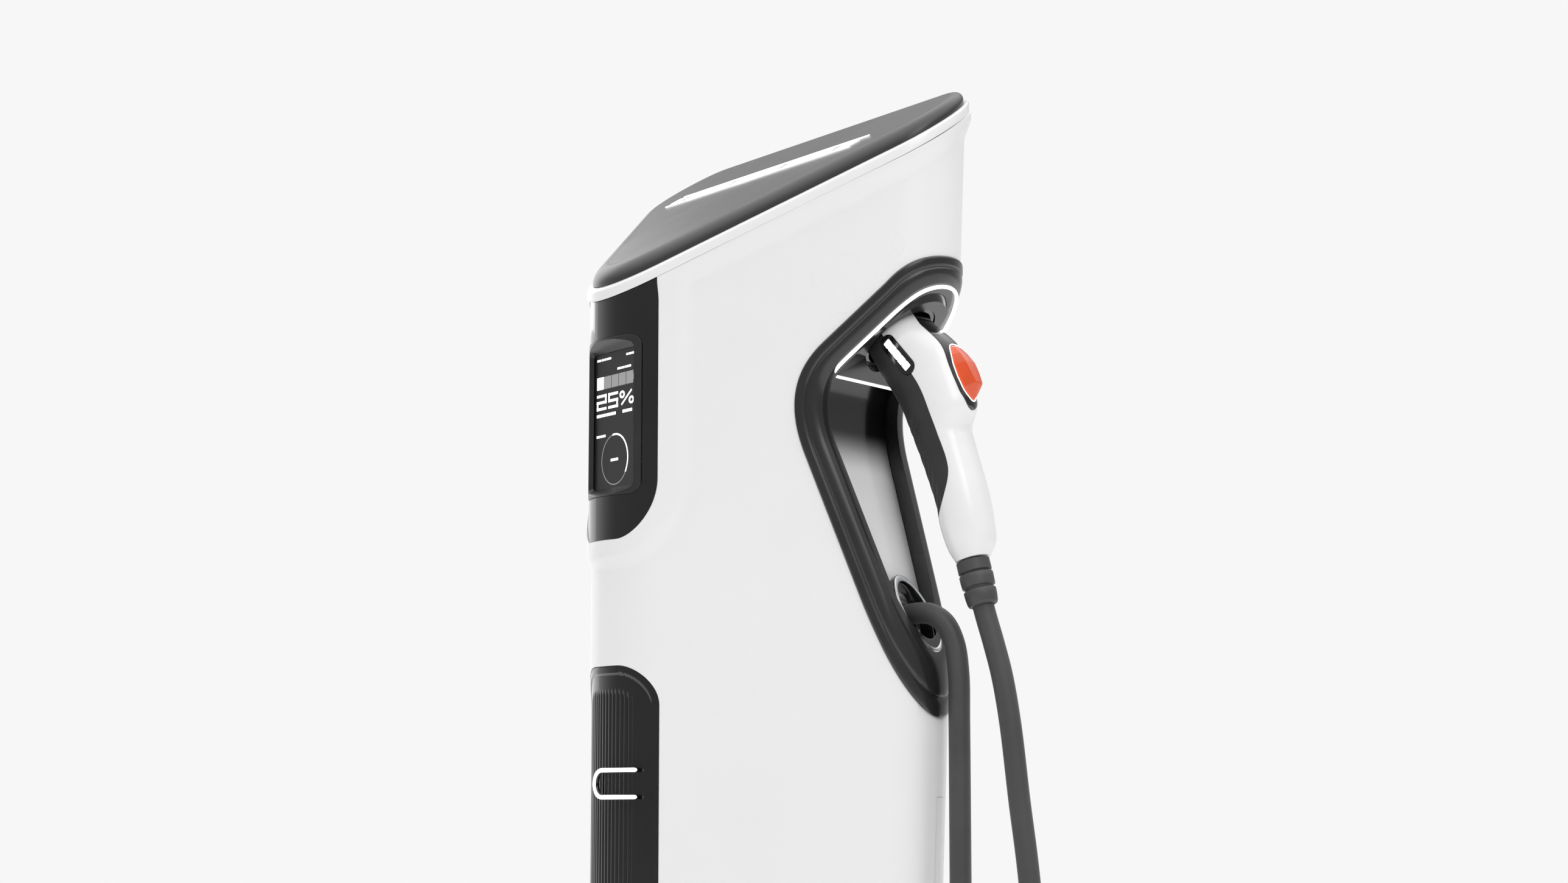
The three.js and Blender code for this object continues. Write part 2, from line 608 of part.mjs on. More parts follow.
function addConnector() {
  const whole = connectorBody(0);
  const stripHole = cut(onKey(edgePlate(STRIP_EDGE, GAP, -32, 40)), connectorBody(-4 - GAP));
  const keyHole = onKey(edgePlate(KEY_EDGE, 0.5, -3.4, 60));
  const pillHole = onPill(box(-9, 9, -60, -26, -27, 27));

  const grip = cut(common(whole, gripRegion(-0.2)), stripHole, pillHole);
  add('connector_grip', grip, DARK_SATIN());
  add('connector_shell', cut(whole, gripRegion(0.2), stripHole, keyHole, pillHole), WHITE());

  const skin = cut(connectorBody(-GAP), connectorBody(-4));
  const strip = common(skin, onKey(edgePlate(STRIP_EDGE, 0, -32, 40)));
  add('button_surround', cut(strip, keyHole), BLACK_GLOSS());
  const profile = new THREE.Shape([
    [-34, 0.6], [-33, 3], [-29, 8], [-20, 14], [-14, 15], [0, 13.5], [15, 9.5], [27, 4], [30, 1.5], [30, 0.6],
  ].map(([z, x]) => new THREE.Vector2(x, z)));
  add('trigger_button', onKey(common(edgePlate(KEY_EDGE, 0, 0, 30), throughY(profile, -20, 20))), RED());

  const pill = common(
    connectorBody(-0.6),
    onPill(box(-8.6, 8.6, -60, -26.4, -26.6, 26.6)),
  );
  add('charge_indicator', pill, BLACK_GLOSS());

  const nose = new THREE.LatheGeometry([
    [0, 0], [27, 0], [27, 26], [23, 30], [23, 4], [0, 4],
  ].map(([r, z]) => new THREE.Vector2(r, z)), 28).rotateX(Math.PI / 2).rotateX(Math.PI);
  const top = [-80, 1244];
  const along = new THREE.Vector3(-Math.sin(DOCK.angle), 0, Math.cos(DOCK.angle));
  const seat = (geometry, away) => fromCorner(geometry.clone().rotateY(-DOCK.angle)
    .translate(top[0] + along.x * away, 0, top[1] + along.z * away));
  add('connector_nose', seat(nose.rotateX(Math.PI), GAP + 0.1), DARK_SATIN());
  add('contact_carrier', seat(rod(16, 4.9, 24, 24), 0), RUBBER());

  const relief = new THREE.LatheGeometry([
    [CABLE_RADIUS + GAP, 0], [17.5, 0], [17.5, 12], [15, 14], [18, 17], [17.5, 28], [14.5, 30], [17, 33],
    [16, 46], [CABLE_RADIUS + GAP, 48], [CABLE_RADIUS + GAP, 0],
  ].map(([r, z]) => new THREE.Vector2(r, -z)).reverse(), 24).rotateX(Math.PI / 2);
  add('strain_relief', fromCorner(relief.rotateY(deg(-15)).translate(19.6, 0, 986)), RUBBER());
}

// ---------------------------------------------------------------- cable

function addCable() {
  const curveThrough = (points) =>
    new THREE.CatmullRomCurve3(points.map(([u, t, z]) => cornerPoint(u, t, z)), false, 'centripetal');
  const r = CABLE_RADIUS;
  const feed = curveThrough([
    [-110, 0, 924.6], [-88, 0, 928.5], [-68, 0, 932], [-50, 0, 935], [-32, 0, 934], [-15, 0, 924], [-3.5, 0, 903],
    [1.5, 0, 872], [2, 0, 820],
    [2, 0, 700], [2, 0, 500], [2, 0, 300], [2, -4, 160], [1, -22, 75], [-2, -62, 28], [-8, -110, r + 1],
    [-15, -160, r + 0.5], [-19, -215, r + 0.5], [-30, -300, r + 0.5],
  ]);
  const lead = curveThrough([
    [21.5, 0, 979], [33, 0, 935], [44, 0, 900], [53, 0, 868], [62, 0, 820], [72, 0, 740], [81, 0, 674],
    [92, 0, 560], [104, 0, 430], [116, 0, 300], [130, -4, 180], [146, -22, 85], [168, -62, 31], [190, -112, r + 1],
    [203, -160, r + 0.5], [211, -215, r + 0.5], [222, -300, r + 0.5],
  ]);
  const coilRing = (grow) => {
    const ring = new THREE.LatheGeometry([
      [COIL_MEAN - COIL_HALF - grow, 0.3 - grow], [COIL_MEAN + COIL_HALF + grow, 0.3 - grow],
      [COIL_MEAN + COIL_HALF + grow, 2 * COIL_HALF + grow], [COIL_MEAN - COIL_HALF - grow, 2 * COIL_HALF + grow],
      [COIL_MEAN - COIL_HALF - grow, 0.3 - grow],
    ].map(([x, y]) => new THREE.Vector2(x, y)), 40).rotateX(Math.PI / 2);
    const centre = cornerPoint(COIL_CENTRE.u, COIL_CENTRE.t, 0);
    return ring.translate(centre.x, centre.y, 0);
  };
  const tail = fromCorner(box(-200, 400, -460, COIL_CENTRE.t + 40, -10, 60));
  add('cable_feed', cut(tube(feed, r, 44), coilRing(0.3), tail), RUBBER());
  add('cable_lead', cut(tube(lead, r, 44), coilRing(0.3), tail), RUBBER());
  add('cable_coil', coilRing(0), RUBBER());
}

// ---------------------------------------------------------------- what the post holds inside

function addInternals() {
  add('chassis_plate', box(-62, 62, 2, 5, 14, 1230), ZINC());
  add('power_module', box(-60, 60, 6, 56, 760, 1000), STEEL());
  add('contactor', box(-50, -5, -45, 1.5, 640, 720), finish(0x333333, 0.5));
  add('energy_meter', box(5, 50, -45, 1.5, 620, 720), finish(0xdddddd, 0.5));
  add('terminal_block', box(-50, 50, -35, 1.5, 420, 460), finish(0x6f7a3a, 0.6));
  add('controller_board', box(-60, 60, -3, 1.5, 1000, 1190), BOARD());

  const fan = new THREE.Group();
  fan.position.set(0, 10, 580);
  fan.rotation.x = -Math.PI / 2;
  post.add(fan);
  const frame = cut(box(-60, 60, -60, 60, 0, 25), rod(55, -5, 30, 32));
  const spokes = join(frame, box(-56, 56, -3, 3, 0, 3), rod(20, 0, 4, 20));
  add('fan_housing', spokes, DARK_SATIN(), fan);
  const blades = [rod(18, 4.6, 22, 20)];
  for (let i = 0; i < 7; i++) {
    blades.push(box(15, 50, -1, 1, 6, 21).rotateX(deg(30)).rotateZ((2 * Math.PI * i) / 7));
  }
  add('fan_rotor', join(...blades), finish(0x222222, 0.6), fan);
}

addFoot();
addShell();
addCap();
addFrontPanel();
addFrontDoor();
addRearDoor();
addHolster();
addOutlet();
addConnector();
addCable();
addInternals();

export default post;
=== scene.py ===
"""Looks of the EV charging post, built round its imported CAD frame.

Lengths inside the builders are millimetres in the CAD's own frame (+Z up, the front faces -Y) and
become metres when a mesh is made. The plan of the housing is a triangle with a round nose in front
and two round rear corners; the right-hand rear corner holds the holster and the connector.
"""

import math

import bpy
import numpy as np
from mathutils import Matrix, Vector


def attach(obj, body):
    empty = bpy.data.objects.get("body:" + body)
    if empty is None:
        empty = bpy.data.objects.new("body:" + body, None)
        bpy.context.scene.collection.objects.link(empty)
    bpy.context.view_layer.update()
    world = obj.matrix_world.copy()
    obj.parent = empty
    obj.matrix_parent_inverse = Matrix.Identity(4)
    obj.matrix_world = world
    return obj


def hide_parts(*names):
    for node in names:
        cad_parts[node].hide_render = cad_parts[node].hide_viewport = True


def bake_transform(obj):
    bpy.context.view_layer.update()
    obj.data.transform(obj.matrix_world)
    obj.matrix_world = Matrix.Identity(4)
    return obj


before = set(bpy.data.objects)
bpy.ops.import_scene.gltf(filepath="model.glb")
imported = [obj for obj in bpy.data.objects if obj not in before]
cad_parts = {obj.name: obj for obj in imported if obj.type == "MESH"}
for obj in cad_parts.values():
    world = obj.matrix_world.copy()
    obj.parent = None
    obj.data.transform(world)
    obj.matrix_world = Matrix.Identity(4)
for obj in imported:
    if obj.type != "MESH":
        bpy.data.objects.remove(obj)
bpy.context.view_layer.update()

MM = 0.001

# ---------------------------------------------------------------- driving dimensions, as in the CAD

HALF_APEX = math.radians(47.2)
APEX_Y = -188.3
NOSE_RADIUS = 100
NOSE_Y = APEX_Y + NOSE_RADIUS / math.sin(HALF_APEX)
CORNER_RADIUS = 60
CORNER_HALF = (math.pi / 2 - HALF_APEX) / 2
REAR_Y = 151.7
LEAN_Z = 1400
LEAN = 0.0245
SHELL_FOOT = 72
CAP_AT_ZERO = 1407
CAP_SLOPE = 0.65
CAP_DROP = 17
RIM_DROP = 29.5
WALL = 5
GAP = 0.4
PANEL_HALF, PANEL_FOOT, PANEL_CORNER, PANEL_BELOW_CAP = 70.4, 1016, (45, 62), 31
DOOR_HALF, DOOR_FOOT, DOOR_TOP, DOOR_CORNER = 68, 150, 882, (45, 42)
HANDLE_Z = 759.5
BEZEL_HALF, BEZEL_LOW, BEZEL_HIGH, BEZEL_RADIUS = 55, 1063, 1233, 14
SCREEN_HALF, SCREEN_LOW, SCREEN_HIGH, SCREEN_Y = 43.5, 1074, 1221, -140.3
REAR_DOOR_LEFT, REAR_DOOR_LOW, REAR_DOOR_HIGH = -150, 110, 745
TIP_DEPTH, CORNER_Z = 93, 1075
FRAME_WIDTH, FRAME_DEPTH, LINER_WALL = 26, 14, 5
DOCK_U, DOCK_Z, DOCK_ANGLE, DOCK_LOW_U = -66.9, 1226.2, math.atan2(0.596, 0.803), -115
OUTLET_U, OUTLET_Z, OUTLET_TILT, OUTLET_RADIUS, OUTLET_LENGTH = -68, 932, math.radians(80), 30, 20
CABLE_RADIUS = 11.25
COIL_MEAN, COIL_U, COIL_T = 115, 96, -300


def rear_at(z):
    return REAR_Y - LEAN * (LEAN_Z - np.asarray(z, float))


CORNER_REAR = float(rear_at(CORNER_Z))
ALONG = np.array([math.cos(CORNER_HALF), math.sin(CORNER_HALF)])
ACROSS = np.array([-ALONG[1], ALONG[0]])
CORNER_ORIGIN = np.array([(CORNER_REAR - APEX_Y) * math.tan(HALF_APEX), CORNER_REAR]) - TIP_DEPTH * ALONG


def corner(points):
    """Points of the corner frame (u outward, t to the rear, z up) in the post's frame."""
    p = np.asarray(points, float)
    flat = CORNER_ORIGIN + p[..., :1] * ALONG + p[..., 1:2] * ACROSS
    return np.concatenate([flat, p[..., 2:]], -1)


def tilted(u0, z0, tilt):
    """A placing function for points built in a frame turned by tilt about t, at (u0, z0) of the corner."""
    def place(points):
        p = np.asarray(points, float)
        u = p[..., 0] * math.cos(tilt) + p[..., 2] * math.sin(tilt) + u0
        z = -p[..., 0] * math.sin(tilt) + p[..., 2] * math.cos(tilt) + z0
        return corner(np.stack([u, p[..., 1], z], -1))
    return place


from_dock = tilted(DOCK_U, DOCK_Z, math.pi - DOCK_ANGLE)      # +Z runs out of the dock's face
outlet_place = tilted(OUTLET_U, OUTLET_Z, OUTLET_TILT)        # +Z runs out of the cable outlet


# ---------------------------------------------------------------- camera

CAMERA_AZIMUTH, CAMERA_PITCH = math.radians(55.91), math.radians(7.51)
CAMERA_BACK, CAMERA_SIDE, CAMERA_HEIGHT = 3113, 65.1, 723.1
FOCAL_SHARE = 4700 / 2576           # focal length over the picture's width


def add_camera():
    ahead = np.array([-math.sin(CAMERA_AZIMUTH), math.cos(CAMERA_AZIMUTH), 0])
    right = np.array([math.cos(CAMERA_AZIMUTH), math.sin(CAMERA_AZIMUTH), 0])
    place = -CAMERA_BACK * ahead + CAMERA_SIDE * right + np.array([0, 0, CAMERA_HEIGHT])
    look = ahead * math.cos(CAMERA_PITCH) + np.array([0, 0, math.sin(CAMERA_PITCH)])
    data = bpy.data.cameras.new("camera")
    data.sensor_width = 36
    data.lens = 36 * FOCAL_SHARE
    camera = bpy.data.objects.new("camera", data)
    camera.location = Vector(place * MM)
    camera.rotation_euler = Vector(look).to_track_quat("-Z", "Y").to_euler()
    bpy.context.scene.collection.objects.link(camera)
    bpy.context.scene.camera = camera


# ---------------------------------------------------------------- materials

def fill(tree, node, sockets):
    """Sets a node's sockets by label: another node's output is linked, anything else is its value."""
    for label, value in sockets.items():
        if isinstance(value, bpy.types.NodeSocket):
            tree.links.new(value, node.inputs[label])
        else:
            node.inputs[label].default_value = value


def add_node(tree, kind, sockets=None, **settings):
    node = tree.nodes.new("ShaderNode" + kind)
    for key, value in settings.items():
        setattr(node, key, value)
    fill(tree, node, sockets or {})
    return node


def material(name, color, roughness, metallic=0.0, coat=0.0, coat_rough=0.05, sheen=0.0, tone=0.0,
             tone_scale=40.0, smudge=0.0, grain=0.0, grain_scale=2500.0, edge=0.0, stretch=None, painted_reflection_fade=None,
             emission=None):
    """A slow colour drift, uneven roughness, a moulded or brushed grain, round edges and, where asked, a painted
    reflection: the base colour turning to a given colour with height.
    """
    made = bpy.data.materials.new(name)
    made.use_nodes = True
    tree = made.node_tree
    shader = tree.nodes["Principled BSDF"]
    fill(tree, shader, {"Metallic": metallic, "Roughness": roughness, "Coat Weight": coat,
                        "Coat Roughness": coat_rough, "Sheen Weight": sheen})
    place = add_node(tree, "TexCoord").outputs["Object"]
    source = place
    if stretch:
        source = add_node(tree, "Mapping", {"Vector": place, "Scale": stretch}).outputs["Vector"]

    def noise(scale, detail=3.0):
        return add_node(tree, "TexNoise", {"Vector": source, "Scale": scale, "Detail": detail}).outputs["Fac"]

    def spread(value, low, high):
        limits = {"From Min": 0.3, "From Max": 0.7, "To Min": low, "To Max": high}
        return add_node(tree, "MapRange", {"Value": value, **limits}).outputs["Result"]

    def mix(share, a, b):
        return add_node(tree, "Mix", {"Factor": share, "A": a, "B": b}, data_type="RGBA").outputs["Result"]

    darker = (*[c * (1 - tone) for c in color], 1)
    lighter = (*[min(1, c * (1 + tone)) for c in color], 1)
    base = mix(spread(noise(tone_scale), 0, 1), darker, lighter)
    # Painted reflection: between two heights the base colour goes over to a dark colour, darker towards the top,
    # in place of the dark parts a gloss would mirror there.
    if painted_reflection_fade:
        low, high, painted_reflection_color = painted_reflection_fade
        height = add_node(tree, "SeparateXYZ", {"Vector": place}).outputs["Z"]
        share = add_node(tree, "MapRange", {"Value": height, "From Min": low, "From Max": high},
                         interpolation_type="SMOOTHSTEP")
        base = mix(share.outputs["Result"], base, (*painted_reflection_color, 1))
    fill(tree, shader, {"Base Color": base})
    if smudge:
        uneven = spread(noise(tone_scale * 0.6, 5.0), max(0.02, roughness - smudge), roughness + smudge)
        fill(tree, shader, {"Roughness": uneven})
    normal = {}
    if edge:
        normal = {"Normal": add_node(tree, "Bevel", {"Radius": edge * MM}, samples=4).outputs["Normal"]}
    if grain:
        bump = {"Strength": 0.5, "Distance": grain * MM, "Height": noise(grain_scale, 2.0), **normal}
        normal = {"Normal": add_node(tree, "Bump", bump).outputs["Normal"]}
    fill(tree, shader, normal)
    if emission:
        fill(tree, shader, {"Emission Color": (1, 1, 1, 1), "Emission Strength": emission})
    return made


MATERIALS = {
    "shell": material("white_lacquer", (0.83, 0.83, 0.83), 0.3, coat=0.35, coat_rough=0.12, tone=0.012,
                      tone_scale=6, smudge=0.03, grain=0.012, grain_scale=900, edge=0.9),
    "gloss": material("black_gloss", (0.006, 0.006, 0.007), 0.09, coat=0.6, coat_rough=0.03, tone=0.3,
                      smudge=0.025, tone_scale=9, edge=0.7),
    "ribbed": material("black_ribbed_cover", (0.006, 0.006, 0.007), 0.13, coat=0.5, tone=0.3, smudge=0.03,
                       tone_scale=12, edge=0.4),
    "satin": material("dark_satin_plastic", (0.043, 0.043, 0.044), 0.42, tone=0.1, tone_scale=30,
                      smudge=0.05, grain=0.05, grain_scale=1800, edge=0.8),
    "frame": material("frame_plastic", (0.016, 0.016, 0.017), 0.27, coat=0.35, coat_rough=0.12, tone=0.12,
                      tone_scale=24, smudge=0.04, grain=0.015, grain_scale=1800, edge=0.8),
    "bezel": material("bezel_satin", (0.022, 0.022, 0.023), 0.28, tone=0.08, smudge=0.04, grain=0.02,
                      grain_scale=1500, edge=1.2),
    "cap": material("cap_paint", (0.045, 0.045, 0.046), 0.36, metallic=0.3, coat=0.1, coat_rough=0.25,
                    tone=0.06, tone_scale=14, smudge=0.04, grain=0.02, grain_scale=3000),
    # The liner's colour holds a painted reflection: light grey low down, going dark towards the top.
    "liner": material("liner_gloss", (0.82, 0.82, 0.82), 0.16, coat=0.15, tone=0.04, smudge=0.03,
                      tone_scale=8, edge=0.6, painted_reflection_fade=(1.085, 1.135, (0.006, 0.006, 0.006))),
    "steel": material("brushed_steel", (0.55, 0.56, 0.57), 0.3, metallic=1, tone=0.08, smudge=0.06,
                      grain=0.02, grain_scale=600, stretch=(1, 1, 14), edge=0.4),
    "zinc": material("zinc_plate", (0.5, 0.52, 0.53), 0.42, metallic=0.9, tone=0.14, tone_scale=60,
                     smudge=0.08, edge=0.4),
    "rubber": material("cable_rubber", (0.05, 0.05, 0.051), 0.52, tone=0.1, tone_scale=25, smudge=0.06,
                       grain=0.06, grain_scale=1400, sheen=0.08),
    "relief": material("relief_rubber", (0.055, 0.055, 0.056), 0.5, tone=0.1, tone_scale=40, smudge=0.05,
                       grain=0.05, grain_scale=1700, edge=0.6),
    "grip": material("grip_rubber", (0.02, 0.02, 0.021), 0.5, tone=0.12, tone_scale=40, smudge=0.05,
                     grain=0.07, grain_scale=1500, edge=0.8, sheen=0.05),
    "red": material("trigger_red", (0.72, 0.085, 0.02), 0.24, coat=0.4, tone=0.06, tone_scale=60,
                    smudge=0.04, edge=0.8),
    "light": material("light_line", (0.9, 0.9, 0.9), 0.3, tone=0.02, emission=2.2),
    "lit": material("display_lit", (0.8, 0.8, 0.8), 0.4, tone=0.02, emission=1.0),
    "dim": material("display_dim", (0.02, 0.02, 0.02), 0.4, tone=0.1, emission=0.3),
    "glass": material("display_black", (0.001, 0.001, 0.001), 0.3, tone=0.3, smudge=0.02, tone_scale=12),
    "board": material("solder_mask", (0.02, 0.13, 0.06), 0.4, coat=0.3, tone=0.2, tone_scale=300,
                      smudge=0.08, edge=0.4),
    "device": material("device_case", (0.22, 0.22, 0.23), 0.45, tone=0.08, tone_scale=60, smudge=0.05,
                       grain=0.05, grain_scale=1600, edge=0.8),
}

# ---------------------------------------------------------------- meshes and booleans


def new_piece(name, points, faces):
    mesh = bpy.data.meshes.new(name)
    mesh.from_pydata((np.asarray(points, float) * MM).tolist(), [], faces)
    piece = bpy.data.objects.new(name, mesh)
    bpy.context.scene.collection.objects.link(piece)
    return piece


def turn_outward(piece):
    mesh = piece.data
    mesh.calc_loop_triangles()
    corners = np.zeros(len(mesh.loop_triangles) * 3, np.int32)
    mesh.loop_triangles.foreach_get("vertices", corners)
    places = np.zeros(len(mesh.vertices) * 3)
    mesh.vertices.foreach_get("co", places)
    a, b, c = np.moveaxis(places.reshape(-1, 3)[corners.reshape(-1, 3)], 1, 0)
    if np.einsum("ij,ij->", a, np.cross(b, c)) < 0:
        mesh.flip_normals()
    return piece


def loft(name, rings, wrap=False):
    """A closed solid through rings of equal length; wrap joins the last ring to the first."""
    rings = np.asarray(rings, float)
    count, sides = rings.shape[:2]
    i = np.arange(count if wrap else count - 1)[:, None]
    j = np.arange(sides)[None, :]
    after, beside = (i + 1) % count, (j + 1) % sides
    quads = np.stack([i * sides + j, i * sides + beside, after * sides + beside, after * sides + j], -1)
    faces = quads.reshape(-1, 4).tolist()
    if not wrap:
        faces.append(list(range(sides))[::-1])
        faces.append(list(range((count - 1) * sides, count * sides)))
    return turn_outward(new_piece(name, rings.reshape(-1, 3), faces))


def bake_modifiers(piece):
    graph = bpy.context.evaluated_depsgraph_get()
    mesh = bpy.data.meshes.new_from_object(piece.evaluated_get(graph))
    piece.modifiers.clear()
    piece.data = mesh
    return piece


def combine(piece, how, *tools):
    for tool in tools:
        step = piece.modifiers.new(how, "BOOLEAN")
        step.operation = how
        step.solver = "MANIFOLD"
        step.object = tool
    bake_modifiers(piece)
    for tool in tools:
        bpy.data.objects.remove(tool)
    return piece


def cut(piece, *tools):
    return combine(piece, "DIFFERENCE", *tools)


def common(piece, *tools):
    return combine(piece, "INTERSECT", *tools)


def soften(piece, width, segments=2, angle=35):
    step = piece.modifiers.new("soften", "BEVEL")
    step.width = width * MM
    step.segments = segments
    step.limit_method = "ANGLE"
    step.angle_limit = math.radians(angle)
    return bake_modifiers(piece)


def smooth(piece, look, angle):
    mesh = piece.data
    mesh.polygons.foreach_set("use_smooth", [True] * len(mesh.polygons))
    mesh.set_sharp_from_angle(angle=math.radians(angle))
    mesh.materials.clear()
    mesh.materials.append(MATERIALS[look])


def finish(piece, look, body, slot, replaces=(), angle=32):
    """Gives a piece its material, smooth shading and body, and hides the CAD nodes it stands for; its slot is not
    used.
    """
    smooth(piece, look, angle)
    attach(piece, body)
    if replaces:
        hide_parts(*replaces)
    return piece


def dress(node, look, angle=32):
    """Gives a CAD node that stays its material and smooth shading."""
    smooth(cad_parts[node], look, angle)


# ---------------------------------------------------------------- outlines and prisms

def arc(cx, cy, rx, ry, start, end, count):
    a = np.linspace(start, end, count)
    return np.stack([cx + rx * np.cos(a), cy + ry * np.sin(a)], -1)


def strip_outline(half, z0, z1, foot, top=None, count=24):
    """A strip seen from the front, with elliptic corners at its foot and, where given, at its top."""
    fx, fz = foot
    parts = [arc(half - fx, z0 + fz, fx, fz, -math.pi / 2, 0, count)]
    if top:
        tx, tz = top
        parts.append(arc(half - tx, z1 - tz, tx, tz, 0, math.pi / 2, count))
        parts.append(arc(-half + tx, z1 - tz, tx, tz, math.pi / 2, math.pi, count))
    else:
        parts.append(np.array([[half, z1], [-half, z1]]))
    parts.append(arc(-half + fx, z0 + fz, fx, fz, math.pi, 1.5 * math.pi, count))
    return np.concatenate(parts)


def panel_outline(grow):
    fx, fz = PANEL_CORNER
    return strip_outline(PANEL_HALF + grow, PANEL_FOOT - grow, 1600, (fx + grow, fz + grow))


def door_outline(grow):
    fx, fz = DOOR_CORNER
    size = (fx + grow, fz + grow)
    return strip_outline(DOOR_HALF + grow, DOOR_FOOT - grow, DOOR_TOP + grow, size, size)


def rounded_box(half, z0, z1, radius, count=10):
    return strip_outline(half, z0, z1, (radius, radius), (radius, radius), count)


def upright(outline, depth):
    """An outline's points (across, up) stood up at one depth."""
    return np.column_stack([outline[:, 0], np.full(len(outline), float(depth)), outline[:, 1]])


def prism_y(name, outline, y0, y1):
    return loft(name, [upright(outline, y) for y in (y0, y1)])


def prism_t(name, outline, t0, t1, place=corner):
    return loft(name, [place(upright(outline, t)) for t in (t0, t1)])


def corner_centre(rear):
    """The plan's centre of the right-hand rear corner's rounding, for the rear face's y."""
    return (rear - APEX_Y) * math.tan(HALF_APEX) - CORNER_RADIUS / math.tan(CORNER_HALF), rear - CORNER_RADIUS


def side_length(rear):
    x, y = corner_centre(rear)
    tangent = np.array([x + CORNER_RADIUS * math.cos(HALF_APEX), y - CORNER_RADIUS * math.sin(HALF_APEX)])
    start = np.array([NOSE_RADIUS * math.cos(HALF_APEX), NOSE_Y - NOSE_RADIUS * math.sin(HALF_APEX)])
    return float(np.linalg.norm(tangent - start)), x, start, tangent


NOSE_ARC = NOSE_RADIUS * (math.pi / 2 - HALF_APEX)
NOSE_COUNT, CORNER_COUNT, SIDE_COUNT, REAR_COUNT = 40, 56, 14, 8     # stations on each stretch of the plan
FINE_STEP, FINE_REACH = 2.0, 62                                     # closer ones on the sides beside the nose


def half_plan(rear):
    """Stations from the nose's middle round the right side to the rear's middle: places, normals and runs."""
    length, x, start, tangent = side_length(rear)
    a = np.linspace(0, math.pi / 2 - HALF_APEX, NOSE_COUNT)
    normals = [np.stack([np.sin(a), -np.cos(a)], -1)]
    places = [np.array([0, NOSE_Y]) + NOSE_RADIUS * normals[0]]
    runs = [NOSE_RADIUS * a]
    fine = np.arange(FINE_STEP, FINE_REACH, FINE_STEP)
    d = np.concatenate([fine, np.linspace(FINE_REACH, length, SIDE_COUNT)[:-1]])
    places.append(start + (tangent - start) * (d / length)[:, None])
    normals.append(np.tile([math.cos(HALF_APEX), -math.sin(HALF_APEX)], (len(d), 1)))
    runs.append(NOSE_ARC + d)
    a = np.linspace(-HALF_APEX, math.pi / 2, CORNER_COUNT)
    n = np.stack([np.cos(a), np.sin(a)], -1)
    places.append(np.array([x, rear - CORNER_RADIUS]) + CORNER_RADIUS * n)
    normals.append(n)
    runs.append(NOSE_ARC + length + CORNER_RADIUS * (a + HALF_APEX))
    d = np.linspace(x, 0, REAR_COUNT + 1)[1:]
    places.append(np.stack([d, np.full(REAR_COUNT, rear)], -1))
    normals.append(np.tile([0.0, 1.0], (REAR_COUNT, 1)))
    runs.append(runs[-1][-1] + (x - d))
    return np.concatenate(places), np.concatenate(normals), np.concatenate(runs)


def full_plan(rear):
    """The same all the way round, counter-clockwise from the nose's middle."""
    p, n, s = half_plan(rear)
    flip = np.array([-1, 1])
    return (np.concatenate([p, (p * flip)[-2:0:-1]]), np.concatenate([n, (n * flip)[-2:0:-1]]),
            np.concatenate([s, s[-2:0:-1]]))


def level_body(name, offset, z0, z1):
    rings = []
    for z in (z0, z1):
        p, n, _ = full_plan(float(rear_at(z)))
        rings.append(np.column_stack([p + offset * n, np.full(len(p), z)]))
    return loft(name, rings)


def sloping_ring(offset, drop):
    p, n, _ = full_plan(REAR_Y)
    q = p + offset * n
    return np.column_stack([q, CAP_AT_ZERO + CAP_SLOPE * q[:, 1] - drop])


def smooth_step(x):
    x = np.clip(x, 0, 1)
    return x * x * x * (x * (6 * x - 15) + 10)


def outline_distance(points, outline):
    """Distance from each point to a closed outline, negative inside."""
    a = outline
    b = np.roll(outline, -1, 0)
    best = np.full(len(points), 1e9)
    inside = np.zeros(len(points), bool)
    for (ax, ay), (bx, by) in zip(a, b):
        dx, dy = bx - ax, by - ay
        px, py = points[:, 0] - ax, points[:, 1] - ay
        share = np.clip((px * dx + py * dy) / max(dx * dx + dy * dy, 1e-9), 0, 1)
        best = np.minimum(best, np.hypot(px - share * dx, py - share * dy))
        crosses = (ay > points[:, 1]) != (by > points[:, 1])
        with np.errstate(divide="ignore", invalid="ignore"):
            inside ^= crosses & (points[:, 0] < ax + (points[:, 1] - ay) * dx / dy)
    return np.where(inside, -best, best)


def run_of_x(x):
    """How far round the nose and side a point lies, for its x on the front."""
    edge = NOSE_RADIUS * math.cos(HALF_APEX)
    x = np.asarray(x, float)
    on_nose = NOSE_RADIUS * np.arcsin(np.clip(x / NOSE_RADIUS, -1, 1))
    on_side = np.sign(x) * (NOSE_ARC + (np.abs(x) - edge) / math.sin(HALF_APEX))
    return np.where(np.abs(x) <= edge, on_nose, on_side)


def unrolled(outline):
    return np.column_stack([run_of_x(outline[:, 0]), outline[:, 1]])


def front_point(run, offset, z):
    """Points on the nose and the start of the sides, by signed run from the middle, offset and height."""
    run, offset, z = np.broadcast_arrays(np.asarray(run, float), offset, z)
    a = np.clip(run / NOSE_RADIUS, -NOSE_ARC / NOSE_RADIUS, NOSE_ARC / NOSE_RADIUS)
    n = np.stack([np.sin(a), -np.cos(a)], -1)
    tangent = np.stack([np.cos(a), np.sin(a)], -1)
    beyond = run - a * NOSE_RADIUS
    flat = np.array([0, NOSE_Y]) + (NOSE_RADIUS + offset)[..., None] * n + beyond[..., None] * tangent
    return np.concatenate([flat, z[..., None]], -1)


def front_skin(name, runs, heights, offset, inner):
    """A curved plate on the front: offset(run, z) shapes its face and inner is its back's constant offset."""
    s, z = np.meshgrid(runs, heights)
    face = front_point(s, offset(s, z), z)
    back = front_point(s, np.full(s.shape, float(inner)), z)
    rows = np.concatenate([face, back[:, ::-1]], 1)
    return loft(name, rows)


# ---------------------------------------------------------------- the notch in the corner

def bezier(points, count):
    t = np.linspace(0, 1, count)[:, None]
    p = [np.array(q, float) for q in points]
    while len(p) > 1:
        p = [(1 - t) * a + t * b for a, b in zip(p, p[1:])]
    return p[0]


